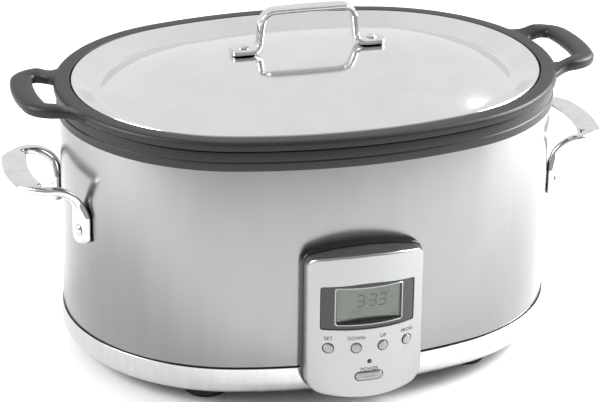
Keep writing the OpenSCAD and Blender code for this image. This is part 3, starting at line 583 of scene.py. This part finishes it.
def makeLid():
    s = lidSizes
    ringZ = s["top"] - s["drop"]
    steps = [s["middle"] + (s["ringIn"] - s["middle"]) * k / 46 for k in range(47)]
    outer = [(d, domeHeight(d)) for d in steps]
    inner = [(d, domeHeight(d) - s["sheet"]) for d in reversed(steps)]
    low = s["top"] - 2 * s["bead"]
    under = ringZ - s["sheet"] * 1.3
    edge = roundedLine([(s["ringIn"] - 9, ringZ + 4.2, 0), (s["ringIn"], ringZ, 1.2),
                        (s["bandIn"], ringZ, 1.2),
                        (s["edge"] - 2.6, s["top"], 1.5), (s["edge"], s["top"], 1.9), (s["edge"], low, 1.9),
                        (s["edge"] - 3.6, low, 1.2), (s["edge"] - 4.4, s["top"] - 3.4, 0),
                        (s["bandIn"], under, 0.8),
                        (s["ringIn"] + 0.5, under, 0.8), (s["ringIn"] - 9, under + 4.2, 0)], 6)[1:-1]
    section = outer[:-1] + [tuple(v) for v in edge] + inner[1:]
    piece = sweptRing("lidShell", section, finish["buffedStainlessLid"], closed=False, capped=True,
                      sharpAngle=40)
    finishPiece(piece, "lid", "polished_steel", "lid_shell")


def pathFrames(line):  # points with the direction across each, for bending a strap
    frames, gone = [], 0.0
    for k, point in enumerate(line):
        if k:
            gone += (point - line[k - 1]).length
        ahead = line[min(len(line) - 1, k + 1)] - line[max(0, k - 1)]
        frames.append((gone, point, Vector((-ahead.y, ahead.x)).normalized()))
    return frames


def onFrames(frames, length):
    for (s0, p0, n0), (s1, p1, n1) in zip(frames, frames[1:]):
        if length <= s1:
            t = max(0.0, (length - s0) / (s1 - s0))
            return p0.lerp(p1, t), n0.lerp(n1, t).normalized()
    return frames[-1][1], frames[-1][2]


lidGrip = {"footOut": 63, "legFoot": 40.6, "legTop": 37.2, "thick": 5.2, "widths": [
    (0, 6.4), (1, 7.8), (3, 8.8), (5, 9.0), (15, 9.0), (19, 8.0), (23, 5.4), (27, 4.7), (34, 4.6), (46, 5.4),
    (58, 6.5), (78, 7.0), (96, 7.0)]}


def makeLidGrip():
    g = lidGrip
    low, high = (corner.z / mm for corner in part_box("lid_handle"))
    half = g["thick"] / 2
    top = high - half - 0.5
    line, total = evenPath([(-g["footOut"], low + half, 0), (-g["legFoot"], low + half, 6.5),
                            (-g["legTop"], top, 11), (0, top + 0.5, 150), (g["legTop"], top, 11),
                            (g["legFoot"], low + half, 6.5), (g["footOut"], low + half, 0)], 0.8)
    frames = pathFrames(line)
    path = [Vector((0, total * k / 220)) for k in range(221)]

    def widthAt(share, point):
        return along(g["widths"], min(point.y, total - point.y))

    def place(across, length, through):
        spot, normal = onFrames(frames, length)
        spot = spot + normal * (through - 0.5) * g["thick"]
        return (spot.x * mm, middleY + across * mm, spot.y * mm)

    verts, faces = strapMesh(path, widthAt, place, power=3.0, sides=32)
    piece = makePiece("lidGrip", verts, faces, finish["castSteelPolished"], 50)
    finishPiece(piece, "lid", "cast_steel", "lid_handle")


makeLid()
makeLidGrip()
print("lid made")


# ---- side handles ----

sideHandle = {"low": 117, "top": 165, "bend": 26, "thick": 6.5, "reach": 45, "pitch": 90, "gripWide": 19,
              "footHalf": 10, "legHalf": 4.8, "bow": 2.6}


def makeSideHandles():
    h = sideHandle
    straight = h["top"] - h["bend"] - h["low"]
    arc = h["bend"] * pi / 2
    gripPlace = straight + arc + (h["reach"] - h["bend"] - h["gripWide"] / 2)
    side = h["pitch"] / 2
    path, _ = evenPath([(-side, 0, 0), (-side, gripPlace, 10), (side, gripPlace, 10), (side, 0, 0)], 1.2)

    def widthAt(share, point):
        v = point.y
        foot = h["footHalf"] - 5 + sqrt(max(0, 25 - max(0, 5 - v) ** 2))
        leg = foot + (h["legHalf"] - foot) * smooth(21, 37, v)
        grip = smooth(side - 3, side - 14, abs(point.x))
        return leg + (h["gripWide"] / 2 - leg) * grip if v > 40 else leg

    for end, label in ((-1, "left"), (1, "right")):
        def place(u, v, through):
            t = h["thick"] * through
            bow = h["bow"] * (1 - (u / 50) ** 2) * smooth(straight + arc - 8, gripPlace, v)
            v = v + bow
            if v <= straight:
                d, z = 0.15 + t, h["low"] + v
            elif v <= straight + arc:
                a = (v - straight) / h["bend"]
                d = 0.15 + h["bend"] - (h["bend"] - t) * cos(a)
                z = h["low"] + straight + (h["bend"] - t) * sin(a)
            else:
                d, z = 0.15 + h["bend"] + v - straight - arc, h["top"] - t
            x, y = ovalSpot(d * mm, u * mm, end)
            return (x, y, z * mm)
        verts, faces = strapMesh(path, widthAt, place, power=3.0, sides=32)
        piece = makePiece(label + "SideHandle", verts, faces, finish["castSteelPolished"], 50)
        finishPiece(piece, "base", "cast_steel", label + "_side_handle")


makeSideHandles()
print("side handles made")


# ---- rivets ----

rivetSizes = {"Head radius": 4.6 * mm, "Head height": 2.6 * mm, "Shank radius": 2.5 * mm,
              "Shank length": 9.0 * mm}


def rivetTree():
    # A domed head and its shank stand on every point, turned to the point's own direction
    tree, given, result = startTree("rivetHeads", list(rivetSizes))

    def maths(operation, *values):
        return addNode(tree, "ShaderNodeMath", {"operation": operation}, dict(enumerate(values))).outputs[0]

    head = addNode(tree, "GeometryNodeMeshCylinder", {"fill_type": "TRIANGLE_FAN"},
                   {"Vertices": given.outputs["Around"], "Side Segments": 2, "Fill Segments": 8,
                    "Radius": given.outputs["Head radius"],
                    "Depth": maths("MULTIPLY", given.outputs["Head height"], 0.2)})
    spot = addNode(tree, "ShaderNodeSeparateXYZ", None,
                   {0: addNode(tree, "GeometryNodeInputPosition").outputs[0]})
    away = maths("DIVIDE", maths("SQRT", maths("ADD", maths("POWER", spot.outputs["X"], 2.0),
                                               maths("POWER", spot.outputs["Y"], 2.0))),
                                               given.outputs["Head radius"])
    dome = maths("MULTIPLY", maths("SUBTRACT", 1.0, maths("POWER", away, 2.3)),
                 maths("MULTIPLY", given.outputs["Head height"], 0.8))
    lift = maths("MULTIPLY", dome, maths("GREATER_THAN", spot.outputs["Z"], 0.0))
    up = addNode(tree, "ShaderNodeCombineXYZ", None, {"Z": lift})
    domed = addNode(tree, "GeometryNodeSetPosition", None,
                    {"Geometry": head.outputs["Mesh"], "Offset": up.outputs[0]})
    raised = addNode(tree, "GeometryNodeTransform", None, {
        "Geometry": domed.outputs[0],
        "Translation": addNode(tree, "ShaderNodeCombineXYZ", None,
                               {"Z": maths("MULTIPLY", given.outputs["Head height"], 0.1)}).outputs[0]})
    shank = addNode(tree, "GeometryNodeMeshCylinder", {"fill_type": "NGON"},
                    {"Vertices": given.outputs["Around"], "Radius": given.outputs["Shank radius"],
                     "Depth": given.outputs["Shank length"]})
    sunk = addNode(tree, "GeometryNodeTransform", None, {
        "Geometry": shank.outputs["Mesh"],
        "Translation": addNode(tree, "ShaderNodeCombineXYZ", None,
                               {"Z": maths("MULTIPLY", given.outputs["Shank length"], -0.49)}).outputs[0]})
    whole = addNode(tree, "GeometryNodeJoinGeometry")
    tree.links.new(raised.outputs[0], whole.inputs[0])
    tree.links.new(sunk.outputs[0], whole.inputs[0])
    facing = addNode(tree, "GeometryNodeInputNamedAttribute", {"data_type": "FLOAT_VECTOR"},
                     {"Name": "facing"})
    turned = addNode(tree, "FunctionNodeAlignRotationToVector", {"axis": "Z"}, {"Vector": facing.outputs[0]})
    placed = addNode(tree, "GeometryNodeInstanceOnPoints", None, {
        "Points": given.outputs["Geometry"], "Instance": whole.outputs[0], "Rotation": turned.outputs[0]})
    real = addNode(tree, "GeometryNodeRealizeInstances", None, {"Geometry": placed.outputs[0]})
    done = addNode(tree, "GeometryNodeSetMaterial", None,
                   {"Geometry": real.outputs[0], "Material": given.outputs["Finish"]})
    tree.links.new(done.outputs[0], result.inputs["Geometry"])
    return tree


rivetsTree = rivetTree()


def makeRivets(name, spots, body, node):
    mesh = bpy.data.meshes.new(name)
    mesh.from_pydata([spot for spot, facing in spots], [], [])
    attribute = mesh.attributes.new("facing", "FLOAT_VECTOR", "POINT")
    attribute.data.foreach_set("vector", [c for spot, facing in spots for c in facing])
    piece = bpy.data.objects.new(name, mesh)
    bpy.context.scene.collection.objects.link(piece)
    runTree(piece, rivetsTree, dict(rivetSizes, Around=32, Finish=finish["castSteelPolished"]))
    for attribute in [a.name for a in piece.data.attributes if a.name == "facing"]:
        piece.data.attributes.remove(piece.data.attributes[attribute])
    cleanMesh(piece.data, 40)
    finishPiece(piece, body, "cast_steel", node)


def makeAllRivets():
    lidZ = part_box("lid_rivets")[1].z - rivetSizes["Head height"]
    makeRivets("lidRivets", [((s * 53 * mm, middleY, lidZ), (0, 0, 1)) for s in (-1, 1)], "lid", "lid_rivets")
    angle = asin(sideHandle["pitch"] / 2 * mm / endRadius)
    reach = endRadius + 6.6 * mm
    for end, label in ((-1, "left"), (1, "right")):
        spots = [((end * (endCentre + reach * cos(angle)), middleY + s * reach * sin(angle), 0.128),
                  (end * cos(angle), s * sin(angle), 0)) for s in (-1, 1)]
        makeRivets(label + "HandleRivets", spots, "base", label + "_handle_rivets")


makeAllRivets()
print("rivets made")


# ---- control panel ----

panel = {"halfWidth": 47.0, "top": 140, "low": 18, "archRise": 5.5, "corner": 9, "lowCorner": 14,
         "faceRadius": 85.0,
         "proud": 28.0, "frameBand": 8.0, "faceWall": 2.2, "edge": 1.7, "frameGrow": 1.5, "windowHalf": 37.5,
         "windowLow": 78, "windowHigh": 113, "windowRise": 3.5, "keyHole": 4.3, "keyRadius": 3.7,
         "keyRow": 62.4,
         "keyPlaces": (-31.6, -10.7, 10.7, 31.6), "lightPlace": 50.2, "lightRadius": 1.6, "powerPlace": 37.9,
         "powerSize": (21.8, 6.4), "keyGap": 0.6, "lcdSize": (50.8, 28.0), "lcdMiddle": 96.9, "lcdDepth": 6.0}
bulgeCentre = -(outline["halfWidth"] / mm + panel["proud"]) + panel["faceRadius"]


def bulgeY(x, depth):  # front-to-back place on the bulged face, in millimetres about the oval's middle
    return bulgeCentre - sqrt(max(1.0, (panel["faceRadius"] - depth) ** 2 - x * x))


def depthAt(x, y):  # how deep a flat place at y lies under the bulge
    return panel["faceRadius"] - sqrt(x * x + (y - bulgeCentre) ** 2)


def wrapperY(x, offset):
    return sideCentre / mm - sqrt((sideRadius / mm + offset) ** 2 - x * x)


def evenLoop(loop, step):
    gaps = [(loop[(i + 1) % len(loop)] - loop[i]).length for i in range(len(loop))]
    total = sum(gaps)
    count = max(12, int(total / step))
    points, i, gone = [], 0, 0.0
    for k in range(count):
        want = total * k / count
        while gone + gaps[i] < want:
            gone += gaps[i]
            i += 1
        share = (want - gone) / gaps[i] if gaps[i] else 0
        points.append(loop[i].lerp(loop[(i + 1) % len(loop)], share))
    return points


def grown(loop, amount):  # anticlockwise loop moved outwards
    moved = []
    count = len(loop)
    for i, here in enumerate(loop):
        a = (here - loop[i - 1]).normalized()
        b = (loop[(i + 1) % count] - here).normalized()
        normal = Vector((a.y + b.y, -a.x - b.x)).normalized()
        moved.append(here + normal * amount / max(0.5, normal.dot(Vector((a.y, -a.x)))))
    return moved


def anticlockwise(loop):
    area = sum(a.x * b.y - b.x * a.y for a, b in zip(loop, loop[1:] + loop[:1]))
    return loop if area > 0 else loop[::-1]


def panelOutline(extra=0.0):
    p = panel
    w, t = p["halfWidth"], p["top"]
    s = t - p["archRise"]
    loop = roundedLine([(-w, s, p["corner"]), (-w * 0.5, s + p["archRise"] * 0.76, 60), (0, t + 0.1, 120),
                        (w * 0.5, s + p["archRise"] * 0.76, 60), (w, s, p["corner"]),
                        (w, p["low"] + 6, p["lowCorner"]),
                        (0, p["low"] - 1, 200), (-w, p["low"] + 6, p["lowCorner"])], 12)
    return grown(evenLoop(anticlockwise(loop), 1.6), extra)


def windowOutline(extra=0.0):
    p = panel
    w = p["windowHalf"]
    loop = roundedLine([(-w, p["windowHigh"], 1.5), (0, p["windowHigh"] + p["windowRise"], 120),
                        (w, p["windowHigh"], 1.5), (w, p["windowLow"], 1.5), (-w, p["windowLow"], 1.5)], 6)
    return grown(evenLoop(anticlockwise(loop), 1.2), extra)


def boxOutline(x, z, width, height, corner, extra=0.0):
    w, h = width / 2, height / 2
    loop = roundedLine([(x - w, z - h, corner), (x + w, z - h, corner), (x + w, z + h, corner),
                        (x - w, z + h, corner)], 8)
    return grown(evenLoop(anticlockwise(loop), 0.8), extra)


def circleOutline(x, z, radius, count=40):
    return [Vector((x + radius * cos(2 * pi * k / count),
                    z + radius * sin(2 * pi * k / count))) for k in range(count)]


def plateMesh(contours, slices=()):
    # Each contour is a list of (loop, depth); the first loops bound the front and the last ones the back
    verts, faces, firsts, lasts = [], [], [], []
    for contour in contours:
        starts = []
        for loop, depth in contour:
            starts.append(len(verts))
            verts.extend((p.x, p.y, depth[i] if isinstance(depth, list) else depth)
                         for i, p in enumerate(loop))
        count = len(contour[0][0])
        for a, b in zip(starts, starts[1:]):
            for i in range(count):
                j = (i + 1) % count
                faces.append((a + i, a + j, b + j, b + i))
        firsts.append(range(starts[0], starts[0] + count))
        lasts.append(range(starts[-1], starts[-1] + count))
    for rims in (firsts, lasts):
        flat = [i for rim in rims for i in rim]
        shapes = [[Vector((verts[i][0], verts[i][1], 0)) for i in rim] for rim in rims]
        for face in tessellate_polygon(shapes):
            faces.append(tuple(flat[i] for i in face))
    work = bmesh.new()
    made = [work.verts.new(v) for v in verts]
    for face in faces:
        work.faces.new([made[i] for i in face])
    bmesh.ops.recalc_face_normals(work, faces=work.faces)
    for x in slices:
        bmesh.ops.bisect_plane(work, geom=work.verts[:] + work.edges[:] + work.faces[:], dist=0.0001,
                               plane_co=(x, 0, 0), plane_no=(1, 0, 0))
    return work


def bulgedPiece(name, work, mat, sharpAngle=30):
    for v in work.verts:
        x, z, depth = v.co
        v.co = (x * mm, middleY + bulgeY(x, depth) * mm, z * mm)
    bmesh.ops.recalc_face_normals(work, faces=work.faces)
    mesh = bpy.data.meshes.new(name)
    work.to_mesh(mesh)
    work.free()
    mesh.materials.append(mat)
    cleanMesh(mesh, sharpAngle, join=0.0000005)
    piece = bpy.data.objects.new(name, mesh)
    bpy.context.scene.collection.objects.link(piece)
    weights = piece.modifiers.new("Even shading", "WEIGHTED_NORMAL")
    weights.keep_sharp = True
    return applied(piece)


def holeContour(loop, lip, wall):  # a hole with its edge rounded by lip
    return [(grown(loop, lip), 0.0), (grown(loop, lip * 0.3), lip * 0.3), (loop, lip), (loop, wall)]


def makeFace():
    p = panel
    base = panelOutline()
    r = p["edge"]
    outer = []
    for k in range(7):
        a = pi / 2 * k / 6
        outer.append((grown(base, -r * (1 - sin(a))), r * (1 - cos(a))))
    back = [depthAt(v.x, wrapperY(v.x, p["frameBand"] + 0.3)) for v in base]
    inside = grown(base, -p["faceWall"])
    outer += [(base, back), (inside, back), (inside, p["faceWall"])]
    wall = p["faceWall"]
    contours = [outer, holeContour(windowOutline(), 0.6, wall)]
    contours += [holeContour(circleOutline(x, p["keyRow"], p["keyHole"]), 0.35, wall) for x in p["keyPlaces"]]
    contours.append(holeContour(circleOutline(0, p["lightPlace"], p["lightRadius"] + 0.15, 28), 0.2, wall))
    w, h = (size + 2 * p["keyGap"] for size in p["powerSize"])
    contours.append(holeContour(boxOutline(0, p["powerPlace"], w, h, h / 2 - 0.01), 0.35, wall))
    work = plateMesh(contours, [x * 2.0 for x in range(-22, 23)])
    piece = bulgedPiece("panelFace", work, finish["silverLacquerFace"])
    finishPiece(piece, "base", "silver_face", "control_face")


def loopFaces(count, loops):  # faces between loops of count points, the last joined to the first
    ends = [(k * count, (k + 1) % loops * count) for k in range(loops)]
    return [(a + i, a + (i + 1) % count, b + (i + 1) % count, b + i) for a, b in ends for i in range(count)]


def makeFrame():
    p = panel
    base = panelOutline(p["frameGrow"])
    front = p["frameBand"]
    rings = [(-3.4, front - 0.4), (-1.6, front), (-0.6, front), (-0.3, front - 0.1), (-0.08, front - 0.35),
             (0.0, front - 0.8), (0.0, 0.0), (-2.2, 0.0), (-3.4, front - 3.0)]
    verts = []
    for extra, proud in rings:
        for v in grown(base, extra):
            sunk = -0.2 if v.y < wrapSizes["seam"] + 1 else 0.05
            verts.append((v.x, wrapperY(v.x, proud if proud else sunk), v.y))
    verts = [(x * mm, middleY + y * mm, z * mm) for x, y, z in verts]
    piece = makePiece("panelFrame", verts, loopFaces(len(base), len(rings)), finish["glossBlackAbs"], 35)
    finishPiece(piece, "base", "black_gloss", "control_frame")


# Bright line around the display: outset from its edge, depth under the bulge
bezelSection = [(1.9, 0.5), (1.7, 0.25), (1.15, 0.25), (0.95, 0.5), (0.95, 1.4), (1.9, 1.4)]


def makeDisplay():
    p = panel
    lensY = bulgeCentre - p["faceRadius"] + p["lcdDepth"]
    base = windowOutline(-0.15)
    outer = [(grown(base, -0.5), 0.62), (grown(base, -0.15), 0.72), (base, 1.1), (base, 3.6)]
    w, h = p["lcdSize"]
    inner = boxOutline(0, p["lcdMiddle"], w, h, 0.6)

    def flat(loop, y):
        return [depthAt(v.x, y) for v in loop]

    wide, mid = grown(inner, 1.5), grown(inner, 1.1)
    bezel = [(wide, 0.62), (mid, 1.0), (inner, flat(inner, lensY - 0.15)), (inner, flat(inner, lensY + 0.3)),
             (mid, 3.6)]
    work = plateMesh([outer, bezel], [x * 2.0 for x in range(-18, 19)])
    piece = bulgedPiece("displaySurround", work, finish["satinPolycarbonate"])
    finishPiece(piece, "base", "display_grey", "display_surround")

    def flatPlate(name, grow, y0, y1, mat, chamfer=0.15):
        loop = boxOutline(0, p["lcdMiddle"], w, h, 0.6, grow)
        small = grown(loop, -chamfer)
        work = plateMesh([[(small, y0), (loop, y0 + chamfer), (loop, y1)]])
        for v in work.verts:
            x, z, y = v.co
            v.co = (x * mm, middleY + y * mm, z * mm)
        mesh = bpy.data.meshes.new(name)
        work.to_mesh(mesh)
        work.free()
        mesh.materials.append(mat)
        cleanMesh(mesh, 30)
        made = bpy.data.objects.new(name, mesh)
        bpy.context.scene.collection.objects.link(made)
        return made

    verts = []
    for extra, depth in bezelSection:
        for v in grown(inner, extra):
            verts.append((v.x * mm, middleY + bulgeY(v.x, depth) * mm, v.y * mm))
    faces = loopFaces(len(inner), len(bezelSection))
    finishPiece(makePiece("displayBezel", verts, faces, finish["silverLacquerFace"], 30), "base",
                "silver_face")
    finishPiece(flatPlate("displayWindow", 0.8, lensY + 0.35, lensY + 0.95, finish["clearAcrylic"]), "base",
                "clear_window", "display_lens")
    finishPiece(flatPlate("lcdPanel", 1.2, lensY + 1.15, lensY + 4.0, finish["lcdPolariser"]), "base",
                "lcd_glass", "lcd_module")
    return lensY + 1.1


digits = {"height": 9.4, "width": 5.3, "bar": 0.95, "slant": 0.09, "places": (-6.2, 3.7, 11.3), "dots": -1.2,
          "z": 98.8, "segments": "abgcd", "dotRise": (1.7, -1.9), "dotHalf": 0.5,
          "dashX": 19.0, "dashRise": 1.0, "dashHalf": (1.3, 0.25)}


def makeDigits(y):
    # Seven-segment digits and the dots between hours and minutes
    d = digits
    verts, faces = [], []
    half, bar, w = d["height"] / 2, d["bar"] / 2, d["width"] / 2
    gap = 0.12
    shapes = {"a": ((-w, half), (w, half)), "d": ((-w, -half), (w, -half)), "g": ((-w, 0), (w, 0)),
              "b": ((w, 0), (w, half)), "c": ((w, -half), (w, 0))}

    def addBar(x, z, start, end):
        (x0, z0), (x1, z1) = start, end
        across = abs(x1 - x0) > abs(z1 - z0)
        points = []
        if across:
            x0, x1 = x0 + gap, x1 - gap
            points = [(x0, z0), (x0 + bar, z0 + bar), (x1 - bar, z0 + bar), (x1, z0), (x1 - bar, z0 - bar),
                      (x0 + bar, z0 - bar)]
        else:
            z0, z1 = z0 + gap, z1 - gap
            points = [(x0, z0), (x0 - bar, z0 + bar), (x0 - bar, z1 - bar), (x0, z1), (x0 + bar, z1 - bar),
                      (x0 + bar, z0 + bar)]
        addShape(points, x, z)

    def addShape(points, x, z):
        first = len(verts)
        for depth in (0.0, 0.05):
            for px, pz in points:
                verts.append(((x + px + pz * d["slant"]) * mm, middleY + (y - depth) * mm, (z + pz) * mm))
        n = len(points)
        faces.append(tuple(first + i for i in range(n)))
        faces.append(tuple(first + n + i for i in reversed(range(n))))
        for i in range(n):
            j = (i + 1) % n
            faces.append((first + i, first + n + i, first + n + j, first + j))

    for x in d["places"]:
        for segment in d["segments"]:
            addBar(x, d["z"], *shapes[segment])
    r = d["dotHalf"]
    for dz in d["dotRise"]:
        addShape([(-r, dz - r), (r, dz - r), (r, dz + r), (-r, dz + r)], d["dots"], d["z"])
    w, h = d["dashHalf"]
    addShape([(-w, -h), (w, -h), (w, h), (-w, h)], d["dashX"], d["z"] + d["dashRise"])
    piece = makePiece("displayDigits", verts, faces, finish["lcdSegment"], 30)
    finishPiece(piece, "base", "lcd_glass")


labels = {"size": 4.1, "above": 8.2, "lift": 0.05, "words": ("SET", "DOWN", "UP", "PROG"), "powerAbove": 5.6}


def bulgedText(name, words, mat, depth):
    # words: (text, x, z, size) printed on the bulge
    pieces = []
    for text, x, z, size in words:
        curve = bpy.data.curves.new(name, "FONT")
        curve.body, curve.size, curve.align_x, curve.align_y = text, size, "CENTER", "CENTER"
        curve.extrude = 0.03
        curve.offset = 0.035
        letter = bpy.data.objects.new(name, curve)
        bpy.context.scene.collection.objects.link(letter)
        bpy.context.view_layer.update()
        mesh = bpy.data.meshes.new_from_object(letter.evaluated_get(bpy.context.evaluated_depsgraph_get()))
        bpy.data.objects.remove(letter)
        for v in mesh.vertices:
            px = x + v.co.x
            v.co = (px * mm, middleY + (bulgeY(px, depth) - v.co.z) * mm, (z + v.co.y) * mm)
        pieces.append(mesh)
    work = bmesh.new()
    for mesh in pieces:
        work.from_mesh(mesh)
    mesh = bpy.data.meshes.new(name)
    bmesh.ops.remove_doubles(work, verts=work.verts, dist=0.000001)
    bmesh.ops.recalc_face_normals(work, faces=work.faces)
    work.to_mesh(mesh)
    work.free()
    mesh.materials.append(mat)
    piece = bpy.data.objects.new(name, mesh)
    bpy.context.scene.collection.objects.link(piece)
    finishPiece(piece, "base", "silver_face")
    return piece


def makeLabels():
    p, t = panel, labels
    words = [(word, x, p["keyRow"] + t["above"], t["size"]) for word, x in zip(t["words"], p["keyPlaces"])]
    words.append(("POWER", 0, p["powerPlace"] + t["powerAbove"], t["size"]))
    bulgedText("faceLabels", words, finish["darkPrintInk"], -t["lift"])


keyShape = [(0.0, -3.0), (0.0, 0.35), (-0.08, 0.62), (-0.3, 0.88), (-0.75, 1.06), (-1.5, 1.16), (-2.4, 1.2),
            (-3.0, 1.21)]


def makeKeys():
    p = panel
    names = ("set", "down", "up", "program")
    keys = [(name, circleOutline(x, p["keyRow"], p["keyRadius"], 40)) for name,
            x in zip(names, p["keyPlaces"])]
    w, h = p["powerSize"]
    keys.append(("power", boxOutline(0, p["powerPlace"], w, h, h / 2 - 0.01)))
    for name, loop in keys:
        rings = [(grown(loop, inset), -proud) for inset, proud in reversed(keyShape)]
        piece = bulgedPiece(name + "Key", plateMesh([rings]), finish["greyAbsKey"], 40)
        finishPiece(piece, name + "_button_key", "button_grey", name + "_button")
    light = [(circleOutline(0, p["lightPlace"], r, 28), d) for r, d in
             ((0.3, -0.35), (0.8, -0.28), (1.25, -0.1), (1.52, 0.15), (1.6, 0.5), (1.6, 4.0))]
    piece = bulgedPiece("powerLight", plateMesh([light]), finish["tintedLightLens"], 40)
    finishPiece(piece, "base", "indicator_red", "power_light")


makeFace()
makeFrame()
makeDigits(makeDisplay())
makeLabels()
makeKeys()
print("control panel made")


# ---- inner parts kept from the CAD model ----

keptFinish = {
    "heating_well": "millStainlessWell", "heater_band": "pressedMica", "heater_clamp": "millStainlessWell",
    "insulation_wrap": "needledGlassWool", "well_posts": "zincPlatedSteel", "post_screws": "zincPlatedSteel",
    "temperature_sensor": "mouldedNylon", "thermal_fuse": "zincPlatedSteel", "base_tray": "mouldedNylon",
    "button_switches": "mouldedNylon", "control_board": "solderMaskGreen", "board_screws": "zincPlatedSteel",
    "panel_screws": "zincPlatedSteel", "control_ribbon": "greyPvcRibbon", "power_board": "solderMaskGreen",
    "transformer": "enamelledCopper", "relay": "blueRelayCase", "terminal_block": "mouldedNylon",
    "power_board_screws": "zincPlatedSteel", "heater_leads": "braidedGlassLead", "cord_gland": "mouldedNylon",
    "gland_nut": "mouldedNylon", "front_left_foot": "mouldedRubber", "front_right_foot": "mouldedRubber",
    "rear_left_foot": "mouldedRubber", "rear_right_foot": "mouldedRubber", "foot_screws": "zincPlatedSteel",
    "rivet_washers": "zincPlatedSteel"}
for nodeName, finishName in keptFinish.items():
    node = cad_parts[nodeName]
    node.data.materials.clear()
    node.data.materials.append(finish[finishName])
print("inner parts finished:", len(keptFinish))


# ---- studio ----

studio = {"floorSize": 9.0, "floor": "#F7F7F7", "back": 0.97, "front": 0.45, "fade": (-0.45, 0.25),
          "lights": [
              # name, power in watts, place, aimed at, width, height
              ("rightBox", 60, (1.5, 0.1, 1.0), (0.55, 0, 0), 1.0, 1.0),
              ("leftBox", 24, (-1.5, 0.0, 1.0), (-0.6, 0, 0), 0.8, 0.8)]}


def makeStudio():
    s = studio
    half = s["floorSize"] / 2
    mesh = bpy.data.meshes.new("studioFloor")
    mesh.from_pydata([(-half, -half, 0), (half, -half, 0), (half, half, 0), (-half, half, 0)], [],
                     [(0, 1, 2, 3)])
    mat, tree, shader = startFinish("mattPaperFloor", s["floor"], 0.0, 0.9)
    addGrain(tree, shader, 1.5 * mm, (1.0, 1.0, 1.0), 0.02, 0.02 * mm, ("#F5F5F5", "#F9F9F9"), None)
    mesh.materials.append(mat)
    floor = bpy.data.objects.new("studioFloor", mesh)
    bpy.context.scene.collection.objects.link(floor)
    world = bpy.data.worlds.new("softRoom")
    world.use_nodes = True
    background = world.node_tree.nodes["Background"]
    background.inputs["Color"].default_value = (1, 1, 1, 1)
    direction = addNode(world.node_tree, "ShaderNodeTexCoord")
    parts = addNode(world.node_tree, "ShaderNodeSeparateXYZ", None, {0: direction.outputs["Generated"]})
    room = addNode(world.node_tree, "ShaderNodeMapRange", {"interpolation_type": "SMOOTHSTEP"},
                   {"Value": parts.outputs["Y"], "From Min": s["fade"][0], "From Max": s["fade"][1],
                    "To Min": s["front"], "To Max": s["back"]})
    world.node_tree.links.new(room.outputs["Result"], background.inputs["Strength"])
    bpy.context.scene.world = world
    for name, power, place, aim, width, height in s["lights"]:
        data = bpy.data.lights.new(name, "AREA")
        data.energy, data.shape, data.size, data.size_y = power, "RECTANGLE", width, height
        light = bpy.data.objects.new(name, data)
        light.location = place
        light.rotation_euler = (Vector(aim) - Vector(place)).to_track_quat("-Z", "Y").to_euler()
        bpy.context.scene.collection.objects.link(light)


view = {"azimuth": -16.83, "elevation": 22.98, "distance": 2.076, "target": (0, middleY, 0.120),
        "lens": 152.24,
        "sensor": 36.0, "shift": (-0.0091, -0.0169), "roll": 0.78}


def makeCamera():
    v = view
    a, e = radians(v["azimuth"]), radians(v["elevation"])
    away = Vector((sin(a) * cos(e), -cos(a) * cos(e), sin(e)))
    data = bpy.data.cameras.new("viewCamera")
    data.lens, data.sensor_width = v["lens"], v["sensor"]
    data.shift_x, data.shift_y = v["shift"]
    data.clip_end = 50
    camera = bpy.data.objects.new("viewCamera", data)
    camera.location = Vector(v["target"]) + away * v["distance"]
    turn = (-away).to_track_quat("-Z", "Y").to_matrix() @ Matrix.Rotation(radians(v["roll"]), 3, "Z")
    camera.rotation_euler = turn.to_euler()
    bpy.context.scene.collection.objects.link(camera)
    bpy.context.scene.camera = camera


makeStudio()
makeCamera()
bpy.context.scene.view_settings.view_transform = "Standard"
print("studio made")
